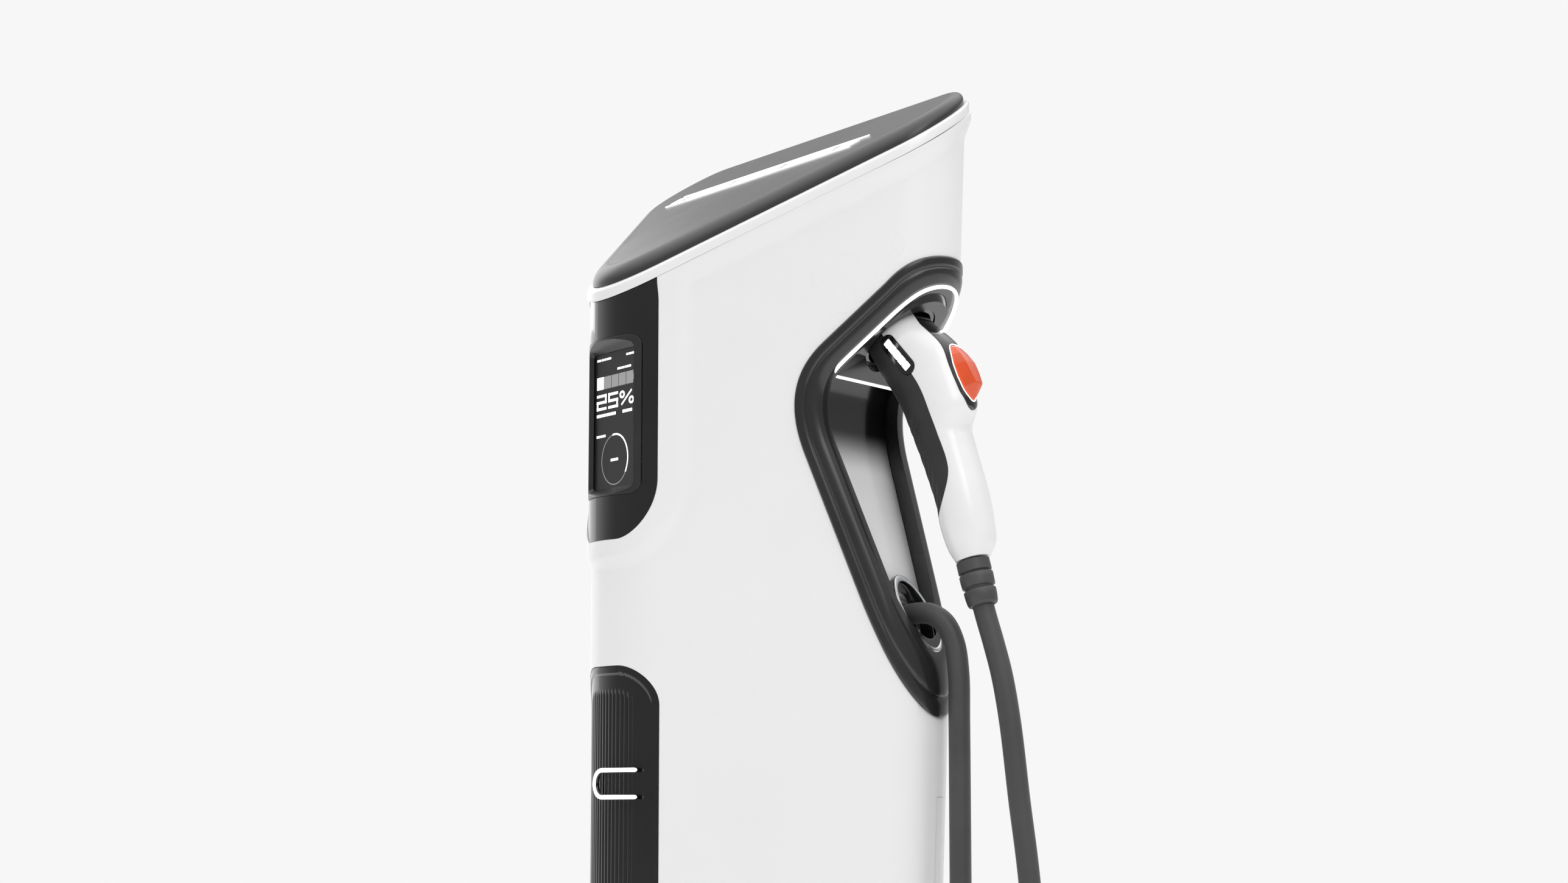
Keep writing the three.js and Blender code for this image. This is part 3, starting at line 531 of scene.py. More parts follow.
def notch_path(count=60):
    straight = lambda a, b: np.linspace(a, b, count)
    parts = [
        straight((60, 1310), (10, 1310)),
        bezier([(10, 1310), (-22, 1307), (-50, 1276)], count),
        straight((-50, 1276), (-112, 1216)),
        bezier([(-112, 1216), (-142, 1187), (-148, 1150), (-131, 1101)], count),
        straight((-131, 1101), (-76, 949)),
        bezier([(-76, 949), (-52, 883), (0, 790)], count),
        straight((0, 790), (34, 729)),
    ]
    return np.concatenate([parts[0]] + [p[1:] for p in parts[1:]])


def inset_path(inset, count=60):
    p = notch_path(count)
    along = np.gradient(p, axis=0)
    for _ in range(6):
        along[1:-1] = (along[:-2] + 2 * along[1:-1] + along[2:]) / 4
    along /= np.linalg.norm(along, axis=1)[:, None]
    return np.column_stack([p[:, 0] - along[:, 1] * inset, p[:, 1] + along[:, 0] * inset])


def notch_prism(name, inset, half=260, count=24):
    p = inset_path(inset, count)
    return prism_t(name, np.concatenate([p, [[120, p[-1, 1] - 60], [120, p[0, 1]]]]), -half, half)


def corner_depth(u, z, offset, side):
    """t where the housing's face, moved out by offset, meets the line at (u, z): side -1 near, 1 rear."""
    rear = rear_at(z)
    ox, oy = CORNER_ORIGIN[0] + u * ALONG[0], CORNER_ORIGIN[1] + u * ALONG[1]
    cx, cy = corner_centre(rear)
    if side < 0:
        nx, ny = math.cos(HALF_APEX), -math.sin(HALF_APEX)
        t = (offset - (ox * nx + (oy - APEX_Y) * ny)) / (ACROSS[0] * nx + ACROSS[1] * ny)
        dx, dy = math.sin(HALF_APEX), math.cos(HALF_APEX)
    else:
        t = (rear + offset - oy) / ACROSS[1]
        dx, dy = 1.0, 0.0
    beyond = (ox + t * ACROSS[0] - cx) * dx + (oy + t * ACROSS[1] - cy) * dy > 0
    wx, wy = ox - cx, oy - cy
    b = wx * ACROSS[0] + wy * ACROSS[1]
    root = np.sqrt(np.maximum(b * b - (wx * wx + wy * wy - (CORNER_RADIUS + offset) ** 2), 0))
    return np.where(beyond, -b + side * root, t)


def corner_tip(z, offset):
    """u of the rounded corner's tip."""
    cx, cy = corner_centre(rear_at(z))
    return (cx - CORNER_ORIGIN[0]) * ALONG[0] + (cy - CORNER_ORIGIN[1]) * ALONG[1] + CORNER_RADIUS + offset


def resample(points, count, closed=False):
    if closed:
        points = np.concatenate([points, points[:1]])
    run = np.concatenate([[0], np.cumsum(np.linalg.norm(np.diff(points, axis=0), axis=1))])
    wanted = np.linspace(0, run[-1], count + 1)[:-1] if closed else np.linspace(0, run[-1], count)
    return np.stack([np.interp(wanted, run, points[:, k]) for k in range(points.shape[1])], -1)


def face_line(u, z, offset, side):
    """Points of the corner frame on one of the corner's faces."""
    return np.column_stack([u, corner_depth(u, z, offset, side), z])


def relax(loop, times):
    """A closed line of points, each moved towards its neighbours a few times."""
    for _ in range(times):
        loop = (np.roll(loop, 1, 0) + 2 * loop + np.roll(loop, -1, 0)) / 4
    return loop


def corner_ring(inset, offset, count=420):
    """A closed curve on both faces of the corner that follows the notch's edge at an inset and an offset."""
    p = inset_path(inset, 400)
    room = corner_tip(p[:, 1], offset) - p[:, 0]
    inside = np.nonzero(room > 0)[0]
    first, last = inside[0], inside[-1]
    ends = []
    for here, there in ((first, first - 1), (last, last + 1)):
        share = room[here] / (room[here] - room[there])
        tip = p[here] + share * (p[there] - p[here])
        steps = (np.arange(9) / 9) ** 2
        ends.append(tip + (p[here] - tip) * steps[:, None])
    curve = np.concatenate([ends[0], p[first:last + 1], ends[1][::-1]])
    near, far = [face_line(curve[:, 0], curve[:, 1], offset, side) for side in (-1, 1)]
    return corner(resample(np.concatenate([near, far[::-1]]), count, closed=True))


# ---------------------------------------------------------------- cable

def through(points, step=4.0):
    """A centripetal Catmull-Rom curve through points, sampled about every step."""
    p = np.asarray(points, float)
    p = np.concatenate([[2 * p[0] - p[1]], p, [2 * p[-1] - p[-2]]])
    out = []
    for i in range(1, len(p) - 2):
        p0, p1, p2, p3 = p[i - 1:i + 3]
        steps = [max(np.linalg.norm(b - a), 1e-6) ** 0.5 for a, b in ((p0, p1), (p1, p2), (p2, p3))]
        t = np.cumsum([0] + steps)
        count = max(2, int(np.linalg.norm(p2 - p1) / step) + 1)
        w = np.linspace(t[1], t[2], count, endpoint=False)[:, None]
        mix = lambda a, b, ta, tb: (tb - w) / (tb - ta) * a + (w - ta) / (tb - ta) * b
        a1, a2, a3 = mix(p0, p1, t[0], t[1]), mix(p1, p2, t[1], t[2]), mix(p2, p3, t[2], t[3])
        b1, b2 = mix(a1, a2, t[0], t[2]), mix(a2, a3, t[1], t[3])
        out.append(mix(b1, b2, t[1], t[2]))
    return np.concatenate(out + [p[-2:-1]])


def tube_rings(path, radius, sides=20):
    """Round sections along a path, turned as little as possible from one to the next."""
    radius = np.broadcast_to(np.asarray(radius, float), len(path))
    along = np.gradient(path, axis=0)
    along /= np.linalg.norm(along, axis=1)[:, None]
    side = np.cross(along[0], [0.3, 0.2, 0.9])
    a = np.linspace(0, 2 * math.pi, sides, endpoint=False)
    rings = []
    for place, forward, r in zip(path, along, radius):
        side = side - forward * (side @ forward)
        side = side / np.linalg.norm(side)
        other = np.cross(forward, side)
        rings.append(place + r * (np.cos(a)[:, None] * side + np.sin(a)[:, None] * other))
    return rings


FLOOR_R = CABLE_RADIUS + 0.5
FEED = [
    (-110, 0, 924.6), (-88, 0, 928.5), (-68, 0, 932), (-50, 0, 935), (-32, 0, 934), (-15, 0, 924),
    (-3.5, 0, 903), (1.5, 0, 872), (2, 0, 820), (2, 0, 700), (2, 0, 500), (2, 0, 300), (2, -4, 160),
    (1, -22, 75), (-2, -62, 28), (-8, -110, CABLE_RADIUS + 1), (-15, -160, FLOOR_R), (-19, -215, FLOOR_R),
]
LEAD = [
    (211, -215, FLOOR_R), (203, -160, FLOOR_R), (190, -112, CABLE_RADIUS + 1), (168, -62, 31), (146, -22, 85),
    (130, -4, 180), (116, 0, 300), (104, 0, 430), (92, 0, 560), (81, 0, 674), (72, 0, 740), (62, 0, 820),
    (53, 0, 868), (44, 0, 900), (33, 0, 935), (21.5, 0, 979),
]
INSIDE_CONNECTOR = [(17, 0, 995), (8.3, 0, 1027), (-7.6, 0, 1079), (-25, 0, 1131), (-34, 0, 1157)]
BEND_START, BEND_ALONG = (62, 0, 825), (48, 0, 36)     # where the cable starts to follow the connector


def coil_points():
    """The coil's three and a half turns, by angle: in at the outside, up from the inside, out outside."""
    turns = np.radians(np.arange(180, 1441, 15))
    outer, inner = COIL_MEAN + 11, COIL_MEAN - 11.4
    keys = np.radians([180, 205, 295, 900, 980, 1440])
    radius = np.interp(turns, keys, [outer, outer, inner, inner, outer, outer])
    keys = np.radians([180, 530, 610, 1345, 1440])
    height = np.interp(turns, keys, [FLOOR_R, FLOOR_R, FLOOR_R + 22.6, FLOOR_R + 22.6, FLOOR_R])
    ease = lambda v: np.concatenate([v[:1], (v[:-2] + 2 * v[1:-1] + v[2:]) / 4, v[-1:]])
    radius, height = ease(radius), ease(height)
    return np.column_stack([COIL_U + radius * np.cos(turns), COIL_T + radius * np.sin(turns), height])


def add_cable():
    path = corner(through(np.concatenate([FEED, coil_points(), LEAD, INSIDE_CONNECTOR])))
    length = float(np.linalg.norm(np.diff(path, axis=0), axis=1).sum())
    cable = loft("charging_cable", tube_rings(path, CABLE_RADIUS, 24))
    start = corner(np.array(BEND_START, float)) * MM
    end = corner(np.array(BEND_START, float) + BEND_ALONG) * MM
    smooth(cable, "rubber", 60)
    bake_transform(cable)
    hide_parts("cable_feed", "cable_lead", "cable_coil")
    return cable, path, length


add_camera()
cable, cable_path, cable_length = add_cable()


# ---------------------------------------------------------------- housing, rim and cap

BORDER, BORDER_FLAT, BORDER_END = 5.0, 12.5, 36.0
FLARE, FLARE_END = 6.6, 60.0


def shell_offset(run, z, drop):
    """How far the housing stands off its plan: a raised border round the panel, a flare under the rim."""
    distance = outline_distance(np.column_stack([run, z]), unrolled(panel_outline(0)))
    border = 1 - smooth_step((distance - BORDER_FLAT) / (BORDER_END - BORDER_FLAT))
    flare = 1 - smooth_step((drop - RIM_DROP - 2) / (FLARE_END - RIM_DROP))
    return BORDER * border + (FLARE - BORDER * border) * flare


def shell_blank():
    fine_from = 930
    p_top, n_top, runs = full_plan(REAR_Y)
    top = CAP_AT_ZERO + CAP_SLOPE * (p_top[:, 1] + FLARE * n_top[:, 1]) - RIM_DROP - 0.1
    shares = np.concatenate([np.linspace(0, 1, 8, endpoint=False), 1 + np.arange(0, 1.0001, 1 / 120)])
    rings = []
    for share in shares:
        low = SHELL_FOOT + (fine_from - SHELL_FOOT) * min(share, 1)
        z = low + (top - fine_from) * max(share - 1, 0)
        p, n = plan_at(z)
        drop = CAP_AT_ZERO + CAP_SLOPE * p[:, 1] - z
        offset = shell_offset(np.minimum(runs, 400), z, drop) if share > 0.9 else np.zeros(len(z))
        rings.append(np.column_stack([p + offset[:, None] * n, z]))
    p, n = plan_at(top)
    rings.append(np.column_stack([p - WALL * n, top]))
    foot = np.full(len(top), float(SHELL_FOOT))
    p, n = plan_at(foot)
    rings.append(np.column_stack([p - WALL * n, foot]))
    return loft("shell", rings, wrap=True)


def plan_at(z):
    """The plan's stations where each has its own height: the corners move with the leaning rear face."""
    low, _, _ = full_plan(float(rear_at(0)))
    high, normals, _ = full_plan(float(rear_at(LEAN_Z)))
    return low + (high - low) * (z / LEAN_Z)[:, None], normals


def rear_door_tool(name, grow, z0, z1):
    """The volume behind the corner's bisector and beyond the hinge line."""
    rings = []
    for z in (z0, z1):
        centre = np.array(corner_centre(float(rear_at(z))))
        front = centre + grow * np.array([ALONG[1], -ALONG[0]])
        back = front + (CORNER_RADIUS + 30) * ALONG
        left = REAR_DOOR_LEFT - grow
        rings.append([(left, front[1], z), (*front, z), (*back, z), (back[0], back[1] + 200, z),
                      (left, back[1] + 200, z)])
    return loft(name, rings)


def add_housing():
    shell = shell_blank()
    cut(shell, prism_y("panel_hole", panel_outline(GAP), -400, -100),
        prism_y("door_hole", door_outline(0.8), -400, -100), notch_prism("notch_hole", 0),
        rear_door_tool("rear_door_hole", GAP, REAR_DOOR_LOW - GAP, REAR_DOOR_HIGH + GAP))
    finish(shell, "shell", "post", "white_shell", ["shell_left", "shell_right"], angle=40)

    profile = [(-14, RIM_DROP), (6.4, RIM_DROP), (6.9, 28.5), (7, 27), (7, 21), (6.8, 19.4), (6.2, 18.2),
               (5.2, 17.5), (3.8, 17.2), (-14, 17.2)]
    rim = loft("top_rim_piece", [sloping_ring(*p) for p in profile], wrap=True)
    finish(rim, "shell", "post", "white_shell", ["top_rim"], angle=40)

    profile = [(-0.4, CAP_DROP), (0.5, 16.7), (1, 16), (1, 13.2), (0.75, 11.4), (0.1, 9.2), (-1.0, 7), (-2.6, 4.9),
               (-4.6, 3.1), (-7.0, 1.7), (-9.6, 0.75), (-12.4, 0.2), (-15, 0), (-15.8, 0.25), (-16.6, 0.25),
               (-40, 0.25)]
    cap = loft("cap_piece", [sloping_ring(*p) for p in profile])
    finish(cap, "cap", "post", "cap_grey", ["cap_plate"], angle=25)


def slope_place(x, along, lift):
    """A point on the cap: x, distance up the slope from the middle, and height off its face."""
    tilt = math.atan(CAP_SLOPE)
    c, s = math.cos(tilt), math.sin(tilt)
    return (x, along * c - lift * s, CAP_AT_ZERO + along * s + lift * c)


def add_cap_lights():
    """A generic light strip on the cap: slanted dashes of two lengths between two thin lines."""
    low, high, lean = 49, 75, 10
    left, right, line, count = -193, 178, 2.4, 11

    def bar(name, x0, x1, a0, a1):
        slant = lambda a: lean * (a - low) / (high - low)
        base = [(x0 + slant(a0), a0), (x1 + slant(a0), a0), (x1 + slant(a1), a1), (x0 + slant(a1), a1)]
        rings = [[slope_place(x, a, lift) for x, a in base] for lift in (0.2, 1.4)]
        piece = loft(name, rings)
        return finish(soften(piece, 0.4), "light", "post", "light")

    first = bar("cap_light_low", left, right, low, low + line)
    bar("cap_light_high", left, right, high - line, high)
    for i in range(count):
        x = left + i * (right - left) / count
        bar(f"cap_light_dash_{i + 1}", x, x + (25 if i % 3 else 13), low + 6.5, high - 6.5)
    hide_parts("cap_light_bar")


# ---------------------------------------------------------------- front panel, display and door

def add_front_panel():
    panel = front_skin("front_panel_piece", np.linspace(-92, 92, 150), np.array([1000.0, 1400.0]),
                       lambda s, z: np.full(s.shape, BORDER - 1.5), 0.5)
    base = CAP_AT_ZERO - PANEL_BELOW_CAP
    corners = ((-200, -300), (200, -300), (200, 0), (-200, 0))
    slab = loft("above", [[(x, y, base + y * CAP_SLOPE + lift) for x, y in corners] for lift in (0, 400)])
    common(panel, prism_y("panel_edge", panel_outline(0), -400, -100))
    cut(panel, slab, prism_y("bezel_hole", bezel_outline(GAP), -400, -100))
    finish(panel, "gloss", "post", "black_gloss", ["front_panel"], angle=30)


def bezel_outline(grow):
    return rounded_box(BEZEL_HALF + grow, BEZEL_LOW - grow, BEZEL_HIGH + grow, BEZEL_RADIUS + grow, 14)


def add_display():
    bezel = front_skin("bezel_piece", np.linspace(-62, 62, 110), np.array([1050.0, 1250.0]),
                       lambda s, z: np.full(s.shape, BORDER - 1), -50)
    common(bezel, prism_y("bezel_edge", bezel_outline(0), -400, SCREEN_Y))
    throat = []
    for y, grow, radius in ((SCREEN_Y + 10, 0, 3), (SCREEN_Y - 0.6, 0, 3), (SCREEN_Y - 1.6, 0.9, 3.6),
                            (-154, 9.2, 11.0), (-157, 10.8, 12.5), (-180, 22, 16)):
        o = rounded_box(SCREEN_HALF + grow, SCREEN_LOW - grow, SCREEN_HIGH + grow, radius, 10)
        throat.append(upright(o, y))
    cut(bezel, loft("throat", throat))
    finish(bezel, "bezel", "post", "dark_satin", ["display_bezel"], angle=30)
    glass_box = rounded_box(SCREEN_HALF + 4, SCREEN_LOW - 4, SCREEN_HIGH + 4, 3)
    glass = prism_y("display_glass_piece", glass_box, SCREEN_Y + GAP, SCREEN_Y + GAP + 1)
    finish(glass, "glass", "post", "black_gloss", ["display_glass"])
    add_readout()


def add_readout():
    """What the display shows: a charge bar, a number, a ring, and plain dashes in place of words."""
    face = SCREEN_Y + GAP
    width, height = 2 * SCREEN_HALF, SCREEN_HIGH - SCREEN_LOW

    def flat(name, outline, look, lift=0.12):
        x = -SCREEN_HALF + outline[:, 0] * width
        z = SCREEN_HIGH - outline[:, 1] * height
        piece = prism_y(name, np.column_stack([x, z])[::-1], face - lift, face - 0.01)
        return finish(piece, look, "post", "light")

    def tile(name, u0, u1, v0, v1, look):
        return flat(name, np.array([[u0, v0], [u1, v0], [u1, v1], [u0, v1]]), look)

    def dashes(name, u0, v, widths, high=0.016, gap=0.012, look="lit"):
        for i, w in enumerate(widths):
            tile(f"{name}_{i + 1}", u0, u0 + w, v, v + high, look)
            u0 += w + gap

    dashes("readout_date", 0.06, 0.035, (0.10, 0.05, 0.05, 0.10))
    dashes("readout_clock", 0.76, 0.035, (0.05, 0.05, 0.06))
    dashes("readout_rate", 0.55, 0.125, (0.10, 0.06, 0.14))
    cell = 0.176
    for i in range(5):
        u = 0.06 + i * cell
        tile(f"readout_cell_{i + 1}", u, u + cell - 0.012, 0.17, 0.262, "lit" if i == 0 else "dim")
    tile("readout_pole", 0.06 + 5 * cell - 0.012, 0.06 + 5 * cell + 0.01, 0.195, 0.237, "dim")
    add_number(face, width, height)
    dashes("readout_state", 0.06, 0.445, (0.12, 0.08, 0.10, 0.12), 0.022)
    dashes("readout_volts", 0.68, 0.445, (0.07, 0.07, 0.06), 0.022)
    dashes("readout_label", 0.06, 0.60, (0.08, 0.05, 0.06), 0.018)

    centre_z = SCREEN_HIGH - 0.795 * height
    for name, start, end, steps, thick, lift, look in (("readout_ring", 0, 360, 96, 1.0, 0.1, "dim"),
                                                       ("readout_arc", -10, 125, 72, 1.9, 0.16, "lit")):
        inner, outer = 27 - thick / 2, 27 + thick / 2
        section = ((inner, 0.01), (outer, 0.01), (outer, lift), (inner, lift))
        rings = [[(r * math.sin(a), face - depth, centre_z + r * math.cos(a)) for r, depth in section]
                 for a in np.radians(np.linspace(start, end, steps))]
        closed = end - start == 360
        finish(loft(name, rings[:-1] if closed else rings, wrap=closed), look, "post", "light")
    dashes("readout_left", 0.405, 0.787, (0.05, 0.04, 0.06), 0.02)


SEGMENTS = {"2": "abged", "5": "afgcd", "0": "abcdef"}


def add_number(face, width, height):
    """The charge as a plain seven-segment number with a percent sign."""
    stroke = 2.9
    top = SCREEN_HIGH - 0.30 * height
    tall = 0.115 * height

    def bar(name, x0, z0, x1, z1, thick=stroke):
        along = np.array([x1 - x0, z1 - z0])
        unit = along / np.linalg.norm(along)
        side = np.array([-unit[1], unit[0]]) * thick / 2
        tip = unit * thick / 2
        a, b = np.array([x0, z0]), np.array([x1, z1])
        outline = np.array([a - tip - side, b + tip - side, b + tip + side, a - tip + side])
        piece = prism_y(name, outline, face - 0.12, face - 0.01)
        finish(piece, "lit", "post", "light")

    def digit(name, text, left, wide):
        x0, x1 = left + stroke / 2, left + wide - stroke / 2
        z0, z1 = top - tall + stroke / 2, top - stroke / 2
        zm = (z0 + z1) / 2
        lines = {"a": (x0, z1, x1, z1), "b": (x1, zm, x1, z1), "c": (x1, z0, x1, zm), "d": (x0, z0, x1, z0),
                 "e": (x0, z0, x0, zm), "f": (x0, zm, x0, z1), "g": (x0, zm, x1, zm)}
        for key in SEGMENTS[text]:
            bar(f"{name}_{key}", *lines[key])

    left = -SCREEN_HALF + 0.06 * width
    digit("readout_tens", "2", left, 20)
    digit("readout_units", "5", left + 24, 20)
    x = left + 47.5
    bar("readout_percent_slash", x + 5, top - tall + 2, x + 24, top - 2, 2.2)
    for name, cx, cz in (("high", x + 5.4, top - 4.6), ("low", x + 24.4, top - tall + 4.6)):
        a = np.linspace(0, 2 * math.pi, 25)[:-1]
        rings = [np.column_stack([cx + 1.3 * r * np.cos(a), np.full(24, face - d), cz + r * np.sin(a)])
                 for r, d in ((1.9, 0.01), (4.2, 0.01), (4.2, 0.12), (1.9, 0.12))]
        finish(loft(f"readout_percent_{name}", rings, wrap=True), "lit", "post", "light")


RIB_PITCH, RIB_HEIGHT, RIB_HALF = 6.2, 1.1, 43.0


def add_front_door():
    outline = unrolled(door_outline(0))

    def face(s, z):
        distance = -outline_distance(np.column_stack([s.ravel(), z.ravel()]), outline).reshape(s.shape)
        step = smooth_step((distance - 7.0) / 1.6)
        edge = 1 - smooth_step(distance / 1.2)
        inside = smooth_step((distance - 20) / 12) * smooth_step((RIB_HALF + 2 - np.abs(s)) / 3)
        ribs = np.abs(np.sin(math.pi * s / RIB_PITCH)) ** 0.8
        return -0.5 - 0.5 * edge - 1.3 * step - RIB_HEIGHT * (1 - ribs) * inside

    ribbed = np.linspace(-46, 46, 240, endpoint=False)
    runs = np.concatenate([np.linspace(-78, -46, 42, endpoint=False), ribbed, np.linspace(46, 78, 43)])
    ends = np.linspace(0, 62, 48)
    heights = np.concatenate([145 + ends, np.linspace(215, 815, 12), 887 - ends[::-1]])
    door = front_skin("front_door_piece", runs, heights, face, -4.5)
    common(door, prism_y("door_edge", door_outline(0), -400, -80))
    finish(door, "ribbed", "front_door_body", "black_gloss", ["front_door"], angle=40)


def add_door_light():
    """The U-shaped lit handle: a white light line in a clear dark carrier, closed at its left end."""
    turn = np.radians(np.linspace(90, 270, 25))
    reach = 54
    bend_run, bend_reach, half, steps = 8, 13, 14, 12
    straight = np.linspace(reach, bend_run + 2, steps)
    runs = np.concatenate([straight, bend_run + bend_reach * np.cos(turn), straight[::-1]])
    heights = np.concatenate([np.full(steps, half), half * np.sin(turn), np.full(steps, -half)]) + HANDLE_Z
    for name, radius, offset, look, slot in (("door_light", 2.1, 6.2, "light", "light"),
                                             ("door_light_carrier", 3.0, 4.2, "gloss", "black_gloss")):
        path = resample(front_point(runs, np.full(len(runs), offset), heights), 110)
        share = np.linspace(0, 1, len(path))
        ends = np.clip(np.minimum(share, 1 - share) / 0.012, 0.25, 1) ** 0.5
        piece = loft(name, tube_rings(path, radius * ends, 16))
        finish(piece, look, "front_door_body", slot, ["door_light_handle"] if look == "light" else ())


# ---------------------------------------------------------------- rear door

def add_rear_door():
    door = level_body("rear_door_piece", 0, REAR_DOOR_LOW, REAR_DOOR_HIGH)
    common(door, rear_door_tool("rear_door_region", 0, 50, 900))
    cut(door, level_body("rear_door_hollow", -4, 50, 900))
    z, radius = 720.0, 9.5
    y = float(rear_at(z))
    cut(door, prism_y("key_hole", arc(0, z, radius, radius, 0, 2 * math.pi, 49)[:-1], y - 30, y + 30))
    finish(door, "shell", "rear_door_body", "white_shell", ["rear_door"], angle=40)
    for node in ("rear_hinge_pin_low", "rear_hinge_pin_high", "door_hinge_pin_low", "door_hinge_pin_high"):
        dress(node, "steel")
    dress("rear_lock_cam", "steel")


# ---------------------------------------------------------------- holster

FRAME_PROFILE = [
    (0.4, -14), (0.4, 0.2), (0.9, 1.4), (1.9, 2.2), (3.4, 2.5), (8.6, 2.5), (9.6, 2.2), (10.2, 1.3),
    (10.9, 0.9), (11.7, 1.1), (12.6, 1.9), (14.0, 2.2), (16.5, 2.2), (19.5, 1.6), (22.0, 0.5), (24.2, -1.2),
    (25.5, -3.2), (26.0, -5.5), (26.0, -14),
]


def socket_hole(name, grow=0.4):
    """The bore that the socket sits in, along the dock's axis."""
    mouth = arc(0, 0, 45 + grow, 0.84 * (45 + grow), 0, 2 * math.pi, 65)[:-1]
    return loft(name, [from_dock(np.column_stack([mouth, np.full(64, z)])) for z in (-120.0, 60.0)])


def add_holster():
    frame_piece = loft("holster_frame_piece", [corner_ring(w, o) for w, o in FRAME_PROFILE], wrap=True)
    finish(frame_piece, "frame", "post", "dark_satin", ["holster_frame"], angle=50)

    liner = level_body("holster_liner_piece", -FRAME_DEPTH - GAP, 700, 1400)
    common(liner, notch_prism("liner_out", GAP))
    cut(liner, notch_prism("liner_in", GAP + LINER_WALL), socket_hole("liner_socket"),
        outlet_bore("liner_outlet", OUTLET_RADIUS - 6))
    finish(liner, "liner", "post", "black_gloss", ["holster_liner"], angle=30)

    chin = [[DOCK_LOW_U, CHIN_Z], [-105, CHIN_Z], [-94, dock_line(-94)]]
    above = np.array(chin + [[60, dock_line(60)], [60, 1420], [DOCK_LOW_U, 1420]])
    dock = level_body("holster_dock_piece", -FRAME_DEPTH - GAP, 1100, 1400)
    common(dock, notch_prism("dock_notch", 2 * GAP + LINER_WALL), prism_t("dock_region", above, -260, 260))
    cut(dock, socket_hole("dock_socket"))
    finish(dock, "frame", "post", "dark_satin", ["holster_dock"], angle=30)

    for node, look in (("holster_socket", "gloss"), ("holster_latch_pin", "steel")):
        dress(node, look)
    add_dock_light()


def dock_line(u):
    return DOCK_Z + (u - DOCK_U) * math.tan(DOCK_ANGLE)


CHIN_Z = 1183.0


def add_dock_light():
    """The light ring: along the frame's inner edge on both faces, round the corner and across the dock."""
    radius, offset, foot_z, foot_u = 1.9, -3.0, 1192, -110.0
    edge = inset_path(FRAME_WIDTH + 1.6, 200)
    edge = edge[(edge[:, 1] > foot_z) & (edge[:, 0] < 60)]
    edge = edge[np.argsort(edge[:, 0])]
    u, z = resample(edge, 500).T
    kept = corner_tip(z, offset) - u > 0.02
    u, z = u[kept], z[kept]
    near, far = [face_line(u, z, offset, side) for side in (-1, 1)]
    ends = [face_line(np.array([foot_u]), np.array([CHIN_Z]), -10, side) for side in (-1, 1)]
    loop = resample(np.concatenate([ends[0], near, far[::-1], ends[1]]), 600, closed=True)
    loop = resample(relax(loop, 160), 260, closed=True)
    loop = np.concatenate([loop, loop[:1]])
    ring = loft("dock_light", tube_rings(corner(loop), radius, 14)[:-1], wrap=True)
    finish(ring, "light", "post", "light", ["dock_light_ring"], angle=60)


def turned(name, profile, place, sides=72, wrap=True):
    """A solid of revolution: (radius, height) points about +Z, placed by a function."""
    rings = []
    for radius, height in profile:
        circle = arc(0, 0, radius, radius, 0, 2 * math.pi, sides + 1)[:-1]
        rings.append(place(np.column_stack([circle, np.full(sides, float(height))])))
    return loft(name, rings, wrap=wrap)


def outlet_bore(name, radius):
    return turned(name, [(radius, -60), (radius, 60)], outlet_place, wrap=False)


def add_outlet():
    r, h = OUTLET_RADIUS, OUTLET_LENGTH

    def oval(points):
        """A taller mouth whose lower end reaches further out."""
        p = np.array(points, float)
        p[..., 2] = 3.2 + (p[..., 2] - 3.2) * (0.9 + p[..., 0] * 0.024)
        return outlet_place(p * np.array([1.5, 1, 1]) + np.array([1, 0, 0]))

    profile = [(18, 3.2), (r, 3.2), (r, h - 1), (r - 0.8, h), (r - 4.4, h), (r - 5, h - 0.8), (r - 5.4, 9),
               (r - 6.4, 7), (18, 6)]
    sleeve = turned("outlet_sleeve_piece", profile, oval)
    finish(sleeve, "gloss", "post", "black_gloss", ["outlet_sleeve"], angle=40)
    ring = turned("outlet_ring_piece", arc(r - 2.5, h + 2.6, 2.2, 2.0, 0, 2 * math.pi, 15)[:-1], oval)
    finish(ring, "steel", "post", "steel", ["outlet_ring"], angle=60)
    profile = [(12.3, -30), (24, -30), (24, -9), (23.4, -8), (20.5, -4), (19.5, 0), (17.6, 3.4), (16.6, 5.2),
               (14.6, 6), (12.3, 6)]
    gland = turned("cable_gland_piece", profile, outlet_place)
    finish(gland, "relief", "post", "rubber", ["cable_gland"], angle=40)


# ---------------------------------------------------------------- connector

# stations along the connector: its inner edge (u, z), its outer edge (u, z) and half its thickness
STATIONS = [
    (-104.9, 1225.5, -55.1, 1262.5, 27), (-100.1, 1212.1, -43.9, 1253.9, 29.5),
    (-90.3, 1195.8, -27, 1238.3, 31), (-82, 1182.6, 0, 1214.5, 31), (-70, 1165, 10.5, 1189, 30.5),
    (-58.5, 1145.6, 18.5, 1165, 29.5), (-52.5, 1131, 22, 1150, 28.5), (-46.5, 1118, 15, 1128, 28),
    (-37, 1095.2, 18, 1112.8, 27.5),
    (-27, 1069.4, 26, 1086.6, 27.5), (-18, 1044.2, 34, 1059.8, 28), (-12.5, 1019.4, 39.8, 1033.4, 27.5),
    (-4, 995.5, 43, 1008, 23.5), (3.5, 983.5, 37.5, 992.5, 17.5),
]


def spine(count=130):
    """The connector's stations, smoothed: centre u and z, half depth, half thickness and lean."""
    inner_u, inner_z, outer_u, outer_z, thick = resample(through(np.array(STATIONS, float), 1.0), count).T
    deep = np.hypot(outer_u - inner_u, outer_z - inner_z) / 2
    lean = np.arctan2(outer_z - inner_z, outer_u - inner_u)
    return np.column_stack([(inner_u + outer_u) / 2, (inner_z + outer_z) / 2, deep, thick, lean])


